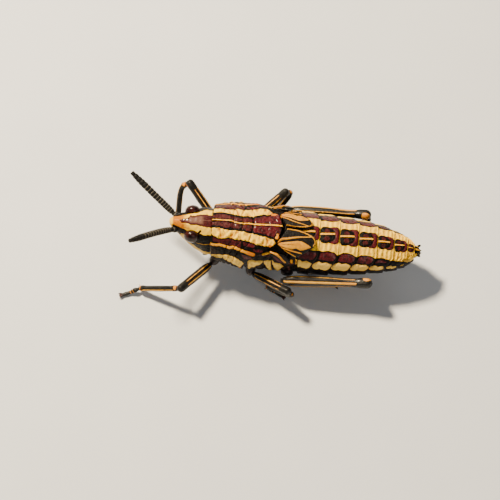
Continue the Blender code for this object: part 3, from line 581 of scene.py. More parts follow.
MEDIAN = (
    (8.6, 1.2), (12, 1.2), (12.5, 1.0), (13.3, -0.5), (14, -0.8), (15, 0), (16, 0.8), (17, 0.4), (22, 1.4),
    (23, 1.4),
)
wave = 0.9 * np.sin(x * 4.1) + 0.7 * np.sin(x * 7.3 + 1.0)
inner_edge = np.where(on_left, along(LEFT_IN, x), along(RIGHT_IN, x)) + wave * 0.4
outer_edge = np.where(on_left, along(LEFT_OUT, x), along(RIGHT_OUT, x)) - wave * 0.4
degree = MM_A_DEGREE
band = np.minimum(between(a, inner_edge, outer_edge) * degree, 21.8 - x + 0.02 * (a - 30))
LOBE_TOP = ((8.6, 80), (9, 78), (10, 73), (11, 70), (12, 67), (13, 67), (14, 69), (15, 73), (15.9, 81))
LOBE_LOW = ((8.6, 88), (10, 84.5), (11, 81), (12, 86), (13, 89.7), (14, 92), (15, 94), (16, 94))
lobe = np.minimum(between(a, along(LOBE_TOP, x), along(LOBE_LOW, x)) * degree, hind_edge(a) - 0.3 - x)
lobe = lobe - 0.2 * bump(x, 11.3, 0.2) - 0.12 * (1 - ease(x, 9, 10.2)) - 0.06 * ripple(x * 2.5, a / 6, 44)
stripe = line(x, a, ((8.7, 51.7), (9.5, 51), (10.5, 48), (11.4, 48.6), (12.4, 50), (13.2, 46.5), (14, 47.5),
                     (15.5, 50), (16.3, 51.7), (17.3, 53.6)), 0.3 + 0.1 * ease(x, 15.6, 16.4))
median_half = along(((8.6, 1.3), (12, 1.3), (14, 1.0), (17, 1.4), (22.9, 1.4)), x)
from_median = np.abs(signed - along(MEDIAN, x))
keel_line = (median_half - from_median) * degree
wine_part = np.minimum(from_median - median_half - 1.4, inner_edge - 4.2 - a) * degree
marks = ((8.9, 0.35), (12.3, 0.22), (14.4, 0.2), (16.8, 0.2), (16.85, 0.15))
furrow_marks = sum(bump(x, place, width) for place, width in marks)
saddle_field = np.minimum(wine_part, hind_edge(a) - 0.4 - x) - 0.3 * furrow_marks
second = most(
    np.minimum(between(a, outer_edge + 2.6, 44.5) * degree, between(x, 9, 14.7)),
    patch(x, a, ((15.2, 33), (17.0, 34), (17.7, 38), (17.3, 40.5), (15.3, 39.5))),
    patch(x, a, ((17.2, 42.5), (18.8, 43), (19.3, 46), (18.8, 48.5), (17.4, 47))),
)
flank_spot = patch(x, a, ((14.9, 57), (16.6, 58), (17.3, 64), (15.6, 66)))
# An orange knob and a red spot lie on the left behind the cream band, and a root spot on the right.
knob = 0.25 - np.hypot(x - 21.9, (a - 15.5) * degree)
knob = np.maximum(knob, 0.32 - np.hypot((x - 21.9) * 0.7, (a - 20) * degree))
saddle_field = np.where(on_left, np.minimum(saddle_field, -knob - 0.16), saddle_field)
root_spot = patch(x, a, ((20.3, 20), (21.1, 21), (21.5, 24.5), (20.8, 25), (20.3, 23)), 0.03)
red_spot = np.where(on_left, 0.24 - np.hypot((x - 20.6) * 0.8, (a - 35.5) * degree), -1.0)
low_spot = patch(x, a, ((14.4, 94), (14.8, 94), (14.7, 101), (14.5, 101)))
ochre = most(keel_line, stripe, np.where(on_left, knob, root_spot), red_spot, low_spot)
cream = np.minimum(np.maximum(band, lobe), x - 8.68)
bulge = ripple(x * 0.95, a / 10, 41) + 0.45 * ripple(x * 2.1, a / 8, 42)
folds = ((10.5, 0.02), (11.4, 0.05), (12.9, -0.05), (14.3, 0.03), (16.4, -0.04), (18.4, 0.03), (19.9, 0.05))
creases = sum(bump(x - place - slant * (a - 25), 0.4 * (signed > 0), 0.11) for place, slant in folds)
creases = creases * (a < 42) * ease(band, 0.0, 0.3)
bright = 0.65 * ease(x, 14.5, 17) + 0.15 + 0.3 * bump(x, 16.2, 1.2) * (a > 30)
# Painted shade: the cream turns orange in the troughs between its bulges and along the inner edge of the
# cream lobes; the other terms are the real orange and ochre pattern.
warm = (0.8 * ease(x, 15.6, 16.6) * (stripe > -0.3) + 0.35 * (ochre > -0.1) * (a > 40)
        + 0.4 * bump(a, outer_edge, 3) * ease(x, 19.5, 21) + 0.25 * ease(-lobe, -0.2, 0) * (a > 60)
        + 0.6 * ease(-bulge, 0.0, 0.8) * (a < 40) + (0.6 + 0.4 * (x > 22.0)) * (knob > -0.1)
        + 0.5 * ease(x, 20.5, 21.6) * (a > 24) * (a < 38)
        + 0.7 * (root_spot > -0.1) * (signed > 0) + (red_spot > -0.1))
fields = horn_fields(
    cream=cream,
    maroon=most(saddle_field, second, flank_spot),
    bright=bright + 0.18 * ripple(x * 2.2, a / 5, 3),
    ochre=ochre,
    # The creases get painted shade in orange as well as their cut.
    warm=np.clip(warm, 0, 1) + 0.55 * creases,
    # Painted sheen: pale grey patches over the maroon at the saddle's front.
    bloom=0.3 * ease(saddle_field, 0, 0.4) * ease(ripple(x * 1.5, a / 6, 17), 0.1, 1) * (1 - ease(x, 15, 17)),
    soil=0.3 * (a > 97) + 0.45 * (1 - ease(x, 9.2, 11.4)) * (a > 62),
    flank=ease(a, 55, 66),
)
furrow = 0.0
for place, depth, width in ((0.32, 0.2, 0.014), (0.45, 0.2, 0.014), (0.59, 0.24, 0.016)):
    slant = share + 0.012 * np.sin(a / 7.0) - 0.0006 * np.clip(a - 30, 0, 60)
    furrow = furrow + depth * bump(slant, place, width)
rough_disc = ease(share, 0.6, 0.68) * ease(saddle_field, -0.1, 0.3) * ripple(x * 1.7, a / 4, 13)
plate = 0.27 + 0.1 * ease(cream, -0.12, 0.25) - furrow
plate = plate + 0.03 * ripple(x * 2.4, a / 5.5, 11) + 0.06 * rough_disc
plate = plate + 0.19 * bulge * ease(cream, 0.0, 0.45) - 0.16 * creases
plate = plate + 0.13 * bump(a, 0, 1.9) + 0.07 * ease(stripe, -0.15, 0.15) + 0.12 * ease(knob, -0.1, 0.15)
plate = plate - 0.2 * (1 - ease(x, 8.58, 8.75)) - 0.45 * ease(share, 0.985, 1.0)
on_saddle = 1 - ease(a, 103, 105.5)
grid = section(TRUNK, x, turns[None, :], plate * on_saddle - 0.25 * (1 - on_saddle))
inner_ring = section(TRUNK, x[-1:], turns[None, :], np.full((1, len(turns)), -0.62))
fields = {key: np.concatenate([value, value[-1:]]) for key, value in fields.items()}
grid = np.concatenate([grid, inner_ring])
pronotum = skin("saddle", grid, fields, horn, ((8.6, 0.45, 10.0), (15.3, 0.1, 9.0)))
stand_for(pronotum, "pronotum")

# The four wing pads are thick leaves of horn, the buds of the wings, hinged under the saddle's hind edge.
# Raised ochre veins run out from each root over black, and the hind pads overlap the fore pads.

# The root's place is x and degrees, the reach is millimetres in each direction from it, and under is the
# height over the trunk. The right hind pad lies closer in, by a share along the trunk and one round it.
HIND_PAD = {
    "root": (22.3, 30.0),
    "reach": ((-66, 3.6), (-50, 4.5), (-34, 6.0), (-18, 7.35), (-9, 7.4), (3, 6.3), (18, 5.1), (38, 4.2)),
    "under": 0.4,
    "right_share": (0.88, 0.74),
}
FORE_PAD = {
    "root": (20.4, 44.0),
    "reach": ((14, 3.2), (24, 4.6), (32, 5.0), (42, 4.2), (52, 2.8)),
    "under": 0.05,
    "right_share": (1.0, 1.0),
}
PAD_THICK = 0.45
# The trunk's radius under the pads, and how far from the back's midline they stop.
PAD_RADIUS = 6.9
MIDLINE_GAP = 0.32


def wing_pad(name, sign, pad, coat, material):
    """A leaf over the trunk. coat gives its relief and its fields at each x and turn."""
    root_x, root_angle = pad["root"]
    low, high = pad["reach"][0][0], pad["reach"][-1][0]
    direction = np.linspace(low, high, 150)[:, None]
    share = np.concatenate([np.linspace(0.05, 0.95, 66), [0.965, 0.978, 0.988, 0.995, 1.0]])[None, :]
    reach = along(pad["reach"], direction)
    x = root_x - 0.45 * (1 - share) + share * reach * np.cos(np.radians(direction))
    arc = math.radians(root_angle) * PAD_RADIUS + share * reach * np.sin(np.radians(direction))
    arc = np.maximum(arc, MIDLINE_GAP)
    relief, fields = coat(x, np.degrees(arc / PAD_RADIUS))
    onward, around = pad["right_share"] if sign > 0 else (1.0, 1.0)
    x = root_x + onward * (x - root_x)
    arc = np.maximum(around * arc, MIDLINE_GAP)
    rim = np.minimum(between(direction, low, high) * 0.12 * share * reach / 5, (1 - share) * reach)
    rounding = 0.22 * (1 - ease(rim, 0.0, 0.22))
    turn = sign * np.degrees(arc / PAD_RADIUS)
    sink = 0.45 * (1 - ease(share, 0.0, 0.4))
    top = section(TRUNK, x, turn, pad["under"] + PAD_THICK + relief - rounding - sink)
    base = section(TRUNK, x, turn, pad["under"] + 0 * x + 0.4 * rounding - sink)
    columns, rows = x.shape
    count = columns * rows
    i, j = np.arange(columns - 1)[:, None] * rows, np.arange(rows - 1)
    upper = np.stack([i + j, i + rows + j, i + rows + j + 1, i + j + 1], -1).reshape(-1, 4)
    border = np.concatenate([
        np.arange(columns) * rows + rows - 1,
        (columns - 1) * rows + np.arange(rows - 2, -1, -1),
        np.arange(columns - 2, -1, -1) * rows,
        np.arange(1, rows - 1),
    ])
    after = np.roll(border, -1)
    wall = np.stack([border, after, after + count, border + count], -1)
    faces = np.concatenate([upper, upper[:, ::-1] + count, wall[:, ::-1]])
    points = np.concatenate([top.reshape(-1, 3), base.reshape(-1, 3)])
    both = {key: np.tile(np.ravel(value + 0 * x), 2) for key, value in fields.items()}
    return new_piece(name, points, [faces], both, material)


def hind_coat(x, a):
    """Black pads with an ochre inner margin, a main vein, a broad pale panel and a fan of fine rays."""
    inner_line = line(x, a, (
        (22.6, 3.6), (25.4, 3.4), (26, 3.8), (27, 5.2), (28, 7.3), (29, 10.8), (29.4, 15), (29.5, 20),
        (29.2, 25),
    ), 0.11)
    main_vein = line(x, a, (
        (22.1, 25.6), (23, 21.2), (24, 19.2), (25, 16.7), (26, 14.7), (27, 13.2), (28, 11.6), (28.6, 10.6),
    ), 0.22 - 0.02 * (x - 22))
    panel = patch(x, a, (
        (21.9, 30), (23, 27), (24, 25), (25, 23), (26, 21.2), (26.7, 20.6), (27.5, 22.5), (28.3, 25.5),
        (28.7, 28), (28.3, 30), (27.8, 32), (27.2, 34.5), (26.6, 35.5), (26.1, 33.6), (25.8, 33),
        (25.0, 35.5), (24, 35), (23, 33), (21.9, 34),
    ), 0.03)
    rays = most(
        line(x, a, ((22.8, 35.4), (24, 37), (25, 38.5), (26, 39.6), (26.9, 40.6)), 0.11),
        line(x, a, ((23.1, 37.8), (24.3, 41.8), (25.3, 45.6), (25.8, 47.4)), 0.065),
        line(x, a, ((22.9, 39.8), (24, 44.8), (24.7, 49)), 0.06),
    )
    slit = line(x, a, ((23.0, 30.2), (25.2, 27.6)), 0.03)
    relief = 0.12 * ease(main_vein, -0.12, 0.2) + 0.07 * ease(panel, -0.1, 0.25)
    relief = relief + 0.1 * ease(rays, -0.12, 0.08) + 0.08 * ease(inner_line, -0.12, 0.1)
    relief = relief + 0.02 * ripple(x * 3, a / 3, 21)
    warm = 0.3 * bump(a, 38.5, 3.5) + 0.2 * ease(ripple(x * 1.8, a / 5, 22), 0.1, 1)
    ochre = np.minimum(most(inner_line, main_vein, panel, rays), -slit)
    return np.minimum(relief, 0.2), horn_fields(ochre=ochre, warm=warm + 0.6 * ease(23.6 - x, 0, 1.2))


def fore_coat(x, a):
    """Narrow black pads with one ochre stripe that runs down to the rear."""
    stripe = line(x, a, ((20.8, 46), (21.4, 46.8), (22, 49), (22.8, 54), (23.3, 59), (23.8, 63)), 0.19)
    maroon = patch(x, a, ((21.4, 53), (22.4, 58), (23.2, 64), (22.4, 66), (21.5, 61)))
    relief = 0.13 * ease(stripe, -0.15, 0.15) + 0.02 * ripple(x * 3, a / 3, 23)
    return np.minimum(relief, 0.2), horn_fields(ochre=stripe, maroon=maroon, warm=0.4)


def pad_horn():
    """Satin horn of the wing pads: ochre with fine grain along the rays, over soft black."""
    tone, shader, material = new_material("wing_pad_horn")
    wobble = (tone.noise(1.8, 3.0) - 0.5) * 0.1
    ochre = (tone.field("ochre") + wobble).step(-0.03, 0.03)
    maroon = (tone.field("maroon") + wobble * 2).step(-0.08, 0.08)
    mottle, fine = tone.noise(1.2, 4.0, 0.6), tone.noise(6.0, 3.0, 0.6)
    dark = tone.mix(mottle.step(0.4, 0.8), (0.0025, 0.002, 0.0018), (0.012, 0.009, 0.008))
    dark = tone.mix(maroon, dark, (0.07, 0.012, 0.018))
    gold = tone.mix(mottle.step(0.25, 0.8), (0.67, 0.31, 0.015), (0.47, 0.185, 0.004))
    gold = tone.mix(tone.field("warm"), gold, (0.45, 0.14, 0.0))
    height = tone.cells(4.5).step(0.05, 0.5) * 0.5 + tone.noise(3.0, 5.0, 0.65) + ochre * 0.3
    tone.fill(shader, {
        "Base Color": tone.mix(ochre, dark, gold),
        "Specular IOR Level": 0.2,
        "Roughness": 0.36 + fine * 0.2,
        "Normal": tone.relief(0.6, 0.00014, height),
    })
    return material


leaf = pad_horn()
SIDES = (("left", -1), ("right", 1))
for side, sign in SIDES:
    for word, pad, coat in (("hind", HIND_PAD, hind_coat), ("fore", FORE_PAD, fore_coat)):
        piece = wing_pad(f"{word}_wing_pad_leaf_{side}", sign, pad, coat, leaf)
        stand_for(piece, f"{word}_wing_pad_{side}")

# The head is one capsule of hard horn, a cone with a slanted face, turned a little on its neck. Its tip is
# pale and then orange. A dark wedge runs back over the crown between two cream bands.

# The same columns as the trunk's.
HEAD = (
    (0.0, 0.55, 15.0, 14.6, 13.9), (0.7, 1.15, 15.3, 14.0, 12.3), (1.7, 1.75, 15.55, 13.3, 10.8),
    (3.1, 2.5, 15.85, 11.6, 8.8), (4.6, 3.3, 16.1, 10.6, 6.8), (6.0, 3.95, 16.25, 9.9, 5.6),
    (7.2, 4.4, 16.2, 9.5, 5.4), (8.8, 4.5, 16.0, 9.6, 6.0),
)
NECK = Vector((8.4, 0.0, 11.0))
HEAD_TURN = Matrix.Translation(NECK + Vector((0.0, 0.45, 0.0))) @ Matrix.Rotation(math.radians(1.5), 4, "Z")
HEAD_TURN = HEAD_TURN @ Matrix.Translation(-NECK)


def turned(points):
    """Points of the head's own frame, set in line with the bent front of the trunk."""
    matrix = np.array(HEAD_TURN)
    return np.asarray(points, float) @ matrix[:3, :3].T + matrix[:3, 3]


at = np.concatenate([[0.0, 0.04, 0.1, 0.18, 0.28], np.linspace(0.4, 8.75, 130)])
x = at[:, None] + 0 * away
a = away + 0 * x
signed = turn_row + 0 * x
on_left = signed < 0
degree = 0.0185 * along(((0, 0.55), (0.7, 1.2), (1.7, 1.9), (3.1, 2.9), (4.6, 3.9), (6, 4.7), (8.8, 5.2)), x)
wave = 0.8 * np.sin(x * 5.3) + 0.6 * np.sin(x * 9.1 + 2)
left_edge = along(((2.0, -6), (2.1, 5), (2.5, 16), (3.5, 16), (4.0, 17), (4.4, 20), (4.9, 17.2), (6, 17),
                   (7, 18), (8.8, 18)), x)
right_edge = along(((2.0, -12), (2.1, -5), (2.5, 3), (3.5, 6), (3.9, 11), (4.2, 21), (4.45, 16), (5.0, 14),
                    (5.5, 16.5), (7, 17), (8.2, 16), (8.8, 16)), x)
wedge = np.where(on_left, left_edge + signed, right_edge - signed) + wave * 0.5
wedge_in = np.minimum(wedge * degree, (x - 2.05) * 0.8)
crown_low = along(((0.6, 46), (1.4, 42), (3.5, 42), (4.6, 41), (5.7, 37.5), (7, 38), (8.8, 36)), x)
crown_low = crown_low + wave * 0.5 - 12 * (signed > 0) * ease(x, 0.9, 1.6) * (1 - ease(x, 5, 7.5))
tooth = np.where(on_left, line(x, a, ((5.7, 45), (5.95, 38), (6.4, 30)), 0.18),
                 line(x, a, ((5.4, 62), (5.6, 45), (6.0, 36)), 0.13))
crown = least(-wedge_in, (crown_low - a) * degree, -tooth)
gena_top = along(((0, 70), (0.7, 80), (1.1, 104), (2.0, 100), (2.5, 70), (3.0, 65), (3.4, 74), (4.2, 86),
                  (8.8, 87)), x)
gena = np.minimum(between(a, gena_top, 118) * degree, 2.0)
face_line, face_middle = between(a, 128, 146) * degree, (a - 172) * degree
post_line = line(x, a, ((5.5, 70), (6.5, 65), (8.2, 60)), 0.06)
post_spot = 0.17 - np.hypot(x - 8.35, (a - 60) * degree)
pale_median = np.minimum(0.06 - np.abs(signed + 0.5) * degree, x - 5.6)
# A soft grey-mauve highlight is painted along the middle of the dark wedge.
wedge_highlight = ease(wedge_in, 0.2, 0.8) * ease(x, 2.6, 4.4) * (1 - ease(x, 6.3, 7.2))
fade = 1 - ease(x - 0.7 * bump(a, 32, 9) * on_left - 0.12 * wave, 2.2, 3.8)
warm = (fade * ease(x, 0.5, 0.85) * (a < 62) + 0.25 * (a > 60) * ease(ripple(x, a / 15, 31), 0, 1)
        + 0.25 * ease(-ripple(x * 2.2, a / 9, 36), 0.2, 1) + 0.6 * (post_spot > -0.1))
fields = horn_fields(
    cream=np.minimum(most(crown, gena, face_line, face_middle, np.minimum(0.62 - x, 0.5)), 8.5 - x),
    ochre=np.maximum(post_line, post_spot),
    maroon=np.minimum(wedge_in - 0.1, 8.55 - x),
    bright=0.1 * ease(x, 6.6, 8),
    bloom=wedge_highlight + 0.55 * ease(pale_median, -0.08, 0.02),
    warm=warm,
    soil=0.25 * (a > 120) * ease(ripple(x, a / 12, 32), 0, 1),
    flank=ease(a, 55, 66),
)
proud = 0.3 * ease(a, 160, 176) * np.clip(x, 0, 1) + 0.02 * ripple(x * 2, a / 8, 33)
proud = proud + 0.05 * ease(gena, -0.1, 0.3) - 0.12 * bump(a, 152, 5) * ease(x, 1, 2)
proud = proud + 0.05 * bump(a, 21, 4) * ease(x, 2, 4) * (1 - ease(x, 7, 8))
proud = proud - 0.03 * bump(a, 0, 1.2) * ease(x, 3, 5)
proud = proud - 0.4 * ease(x, 8.5, 8.75) - 0.08 * (1 - ease(x, 0, 0.25))
# The right cheek and brow stand out a little further than the left ones.
fuller = ease(a, 30, 55) * (1 - ease(a, 95, 120)) * ease(x, 0.8, 2.2) * (1 - ease(x, 6.8, 8.4))
proud = proud + 0.32 * fuller * (signed > 0)
grid = turned(section(HEAD, x, turns[None, :], proud, 2.3))
ends = (grid[0].mean(axis=0) - (0.05, 0, 0), grid[-1].mean(axis=0))
capsule = skin("head_capsule", grid, fields, horn, ends)
stand_for(capsule, "head")

# The eyes are two glossy ovals of tiny facets, dark red-brown, set in black rims at the sides of the head.
# Two pinhead ocelli sit in front of them beside the feelers.


def ball(rings, around):
    """Rings of points round a ball of radius 1, without its poles."""
    polar = np.linspace(0, np.pi, rings + 2)[1:-1, None]
    turn = circle(around)[None, :]
    flat = np.sin(polar)
    return np.stack([flat * np.cos(turn), flat * np.sin(turn), np.cos(polar) + 0 * turn], -1)


def oval(name, centre, half, rings, around, material):
    """A closed oval in the head's frame."""
    grid = np.array(centre) + ball(rings, around) * np.array(half)
    poles = [np.array(centre) + (0, 0, half[2]), np.array(centre) - (0, 0, half[2])]
    return skin(name, turned(grid), {}, material, turned(poles))


def eye_glass():
    """Deep red-brown, nearly black, under a wet-looking clear coat, with very fine facets."""
    tone, shader, material = new_material("eye_glass")
    mottle = tone.noise(1.4, 3.0)
    height = tone.cells(14.0).step(0.1, 0.6) + mottle * 0.4
    tone.fill(shader, {
        "Base Color": tone.mix(mottle.step(0.35, 0.7), (0.006, 0.002, 0.002), (0.03, 0.006, 0.005)),
        "Normal": tone.relief(0.12, 0.00004, height),
        "Roughness": 0.25,
        "Specular IOR Level": 0.2,
        "Coat Weight": 0.1,
        "Coat Roughness": 0.03,
    })
    return material


glass = eye_glass()
# The right eye lies a little deeper than the left one.
EYES = {"left": (4.6, -2.85, 14.1), "right": (4.5, 2.6, 13.9)}
for side, sign in SIDES:
    eye = oval(f"facet_eye_{side}", EYES[side], (1.6, 1.2, 1.75), 64, 96, glass)
    stand_for(eye, f"eye_{side}")
    ocellus = oval(f"ocellus_{side}", (2.55, 2.02 * sign, 13.9), (0.2, 0.16, 0.2), 14, 24, glass)
    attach(ocellus, "root")

# Each feeler is a stout first segment, a ring and sixteen thick beads of black horn that thin to a blunt tip.
# Fine pale rings of bare skin show between the beads over its first three quarters.


def add_repeats(name, piece, spots, material):
    """Sets a copy of piece on each spot: (place, way it points, its widths and its length)."""
    mesh = bpy.data.meshes.new(name)
    mesh.from_pydata([tuple((Vector(place) - ORIGIN) * 0.001) for place, _, _ in spots], [], [])
    ways = [tuple(Vector(way).normalized()) for _, way, _ in spots]
    for key, rows in (("way", ways), ("size", [size for _, _, size in spots])):
        attribute = mesh.attributes.new(key, "FLOAT_VECTOR", "POINT")
        attribute.data.foreach_set("vector", np.array(rows, float).ravel())
    holder = show(name, mesh)
    tree = bpy.data.node_groups.new(name, "GeometryNodeTree")
    tree.interface.new_socket("Geometry", in_out="OUTPUT", socket_type="NodeSocketGeometry")
    inputs = {}
    kinds = {"Geometry": "Geometry", "Piece": "Object", "Scale": "Float", "Finish": "Material"}
    for label, kind in kinds.items():
        made = tree.interface.new_socket(label, in_out="INPUT", socket_type="NodeSocket" + kind)
        inputs[label] = made.identifier

    def add(kind, **settings):
        made = tree.nodes.new(kind)
        for key, value in settings.items():
            setattr(made, key, value)
        return made

    start, end = add("NodeGroupInput"), add("NodeGroupOutput")
    way, size = (add("GeometryNodeInputNamedAttribute", data_type="FLOAT_VECTOR") for _ in range(2))
    way.inputs["Name"].default_value = "way"
    size.inputs["Name"].default_value = "size"
    aim = add("FunctionNodeAlignEulerToVector", axis="Z")
    scaled = add("ShaderNodeVectorMath", operation="SCALE")
    info = add("GeometryNodeObjectInfo")
    place = add("GeometryNodeInstanceOnPoints")
    real = add("GeometryNodeRealizeInstances")
    finish = add("GeometryNodeSetMaterial")
    for source, given, target, taken in (
        (way, "Attribute", aim, "Vector"),
        (size, "Attribute", scaled, 0),
        (start, "Scale", scaled, "Scale"),
        (start, "Piece", info, "Object"),
        (start, "Geometry", place, "Points"),
        (info, "Geometry", place, "Instance"),
        (aim, "Rotation", place, "Rotation"),
        (scaled, "Vector", place, "Scale"),
        (place, "Instances", real, "Geometry"),
        (real, "Geometry", finish, "Geometry"),
        (start, "Finish", finish, "Material"),
        (finish, "Geometry", end, "Geometry"),
    ):
        tree.links.new(source.outputs[given], target.inputs[taken])
    modifier = holder.modifiers.new("repeats", "NODES")
    modifier.node_group = tree
    modifier[inputs["Piece"]] = piece
    modifier[inputs["Scale"]] = 0.001
    modifier[inputs["Finish"]] = material
    bpy.context.view_layer.update()
    made = bpy.data.meshes.new_from_object(holder.evaluated_get(bpy.context.evaluated_depsgraph_get()))
    holder.modifiers.clear()
    holder.data = made
    made.name = name
    made.shade_smooth()
    return holder


def lathe(name, profile, sides, fields, material):
    """A closed turned shape about z through (height, radius) pairs, to be repeated, 1 mm at scale 1."""
    grid = np.array([[(r * math.cos(t), r * math.sin(t), h) for t in circle(sides)] for h, r in profile])
    return skin(name, grid * 1000 + np.array(ORIGIN), fields, material)


def feeler_horn():
    """Dull black horn with fine pits, and pale grey-brown skin where the pale field says so."""
    tone, shader, material = new_material("feeler_horn")
    fine = tone.noise(6.0, 4.0, 0.65)
    colour = tone.mix(fine.step(0.3, 0.75), (0.002, 0.0017, 0.0015), (0.008, 0.0065, 0.0055))
    height = tone.cells(7.0).step(0.05, 0.5) * 0.7 + fine
    tone.fill(shader, {
        "Base Color": tone.mix(tone.field("pale"), colour, (0.26, 0.22, 0.16)),
        "Specular IOR Level": 0.22,
        "Roughness": 0.38 + fine * 0.22,
        "Normal": tone.relief(0.5, 0.00006, height),
    })
    return material


feeler_black = feeler_horn()
BEAD = ((0.0, 0.7), (0.01, 0.9), (0.06, 0.97), (0.2, 1.02), (0.4, 1.06), (0.6, 1.07), (0.78, 1.06),
        (0.88, 1.03), (0.94, 0.98), (0.98, 0.9), (1.0, 0.7))
RING = ((0.0, 0.6), (0.03, 0.9), (0.5, 0.95), (0.97, 0.9), (1.0, 0.6))
BEADS = 16
# Where the feeler's bent first part ends, and its tip.
KNEES = {"left": Vector((-0.9, -1.9, 15.0)), "right": Vector((-0.65, 3.1, 14.3))}
TIPS = {"left": Vector((-7.0, -6.8, 20.4)), "right": Vector((-8.45, 9.0, 17.2))}
bead = lathe("bead", BEAD, 22, {"pale": 0.0}, feeler_black)
ring = lathe("ring", RING, 22, {"pale": 1.0}, feeler_black)
at = np.array((0.0, 0.02, 0.05, 0.075, 0.09, 0.1, 0.115, 0.13, 0.15, 0.165))
width = np.array((0.55, 0.66, 0.71, 0.71, 0.62, 0.48, 0.55, 0.56, 0.5, 0.42))
cuts = 0.16 + 0.84 * np.arange(BEADS + 1) / BEADS
for side, sign in SIDES:
    root = HEAD_TURN @ Vector((1.5, 1.3 * sign, 13.6))
    knee, end = KNEES[side], TIPS[side]
    stops = (root, knee, knee.lerp(end, 0.45), end)
    grid = limb_grid(bezier(*stops, at), width, width * 0.92, (0, 0, 1), 28)
    scape = skin("scape", grid, {"pale": 0.4 * bump(at, 0.1, 0.006)[:, None]}, feeler_black)
    beads, rings = [], []
    places = [Vector(p) for p in bezier(*stops, cuts)]
    for n in range(BEADS):
        middle = (n + 0.5) / BEADS
        girth = 0.68 * min(0.86 + 0.8 * middle, 1.0, 0.66 + 1.6 * (1 - middle))
        way = places[n + 1] - places[n]
        slim = 1.0 if n < BEADS - 1 else 0.94
        size = (girth * slim, girth * 0.94 * slim, way.length * (0.98 if n < 11 else 1.07))
        beads.append((places[n] + way * 0.01, way, size))
        if 0 < n < 12:
            rings.append((places[n] - way * 0.035, way, (girth * 1.05, girth * 0.99, way.length * 0.07)))
    beads.append((places[-1] - way * 0.25, way, (0.27, 0.25, way.length * 0.24)))
    flagellum = add_repeats("beads", bead, beads, feeler_black)
    skins = add_repeats("bare_rings", ring, rings, feeler_black)
    feeler = join_pieces(f"feeler_{side}", [scape, flagellum, skins])
    stand_for(feeler, f"antenna_{side}")
bpy.data.objects.remove(bead)
bpy.data.objects.remove(ring)

# The mouthparts are an upper lip hinged under the face, two jaws beside it and two pairs of jointed palps.
# The lip is cream and the rest is glossy black horn with ochre joints.


def leg_horn():
    """Glossy blue-black horn, with ochre lines on the keels and orange or red spots."""
    tone, shader, material = new_material("leg_horn")
    wobble = (tone.noise(1.8, 3.0) - 0.5) * 0.16
    ochre = (tone.field("ochre") + wobble).step(-0.03, 0.03)
    mottle, fine = tone.noise(1.1, 4.0, 0.6), tone.noise(5.5, 3.0, 0.6)
    dark = tone.mix(mottle.step(0.35, 0.75), (0.002, 0.0018, 0.0018), (0.014, 0.013, 0.0125))
    dark = tone.mix(tone.field("red"), dark, (0.1, 0.01, 0.014))
    gold = tone.mix(mottle.step(0.25, 0.8), (0.84, 0.43, 0.05), (0.66, 0.29, 0.02))
    gold = tone.mix(tone.field("warm"), gold, (0.55, 0.15, 0.0))
    height = tone.cells(4.0).step(0.05, 0.5) * 0.6 + tone.noise(2.6, 5.0, 0.6) + ochre * 0.25
    tone.fill(shader, {
        "Base Color": tone.mix(ochre, dark, gold),
        "Roughness": 0.33 + fine * 0.2 + ochre * 0.1,
        "Normal": tone.relief(0.5, 0.0001, height),
        "Specular IOR Level": 0.22,
        "Coat Weight": 0.1,
        "Coat Roughness": 0.15,
    })
    return material


def leg_fields(**given):
    return {"ochre": -1.0, "warm": 0.0, "red": 0.0, **given}


leg_black = leg_horn()
LIP = ((0, 4.7, 0, 7.3), (0.12, 4.9, 0, 6.9), (0.4, 5.4, 0, 6.0), (0.75, 6.0, 0, 4.9), (1.0, 6.5, 0, 4.1))
at = np.linspace(0, 1, 26)
wide = along(((0, 1.2), (0.12, 1.3), (0.4, 1.35), (0.75, 1.3), (0.92, 1.05), (1.0, 0.55)), at)
deep = along(((0, 0.4), (0.5, 0.42), (0.9, 0.34), (1.0, 0.16)), at)
notch = 1 - 0.06 * bump(at, 0.34, 0.03)[:, None]
grid = turned(limb_grid(curve_through(LIP, at), wide, deep, (0, 1, 0), 40, notch))
cream = 0.35 - 0.9 * ease(at, 0.6, 1.0) - 0.3 * bump(at, 0.34, 0.04)
labrum = skin("upper_lip", grid, horn_fields(cream=cream[:, None], warm=0.25), horn)
stand_for(labrum, "labrum")

# The right side's path, and the width at each share of it.
MOUTH = {
    "mandible": (
        ((6.15, 2.3, 7.1), (6.2, 2.45, 6.8), (6.4, 2.5, 5.8), (6.8, 2.3, 5.0), (7.1, 1.9, 4.4)),
        ((0, 0.5), (0.1, 0.55), (0.4, 0.6), (0.75, 0.5), (0.95, 0.3), (1, 0.12)),
    ),
    "maxillary_palp": (
        ((7.4, 2.0, 7.0), (7.5, 2.2, 6.6), (7.7, 2.65, 5.4), (7.4, 2.8, 4.3), (6.6, 2.75, 3.6)),
        ((0, 0.26), (0.12, 0.3), (0.36, 0.23), (0.42, 0.29), (0.62, 0.23), (0.68, 0.3), (0.92, 0.22),
         (1, 0.08)),
    ),
    "labial_palp": (
        ((7.8, 0.7, 6.6), (7.8, 0.8, 6.2), (7.9, 1.0, 4.9), (7.6, 1.1, 4.1), (7.0, 1.1, 3.5)),
        ((0, 0.24), (0.12, 0.3), (0.4, 0.22), (0.46, 0.28), (0.68, 0.2), (0.74, 0.27), (0.94, 0.2),
         (1, 0.08)),
    ),
}
at = np.linspace(0, 1, 40)
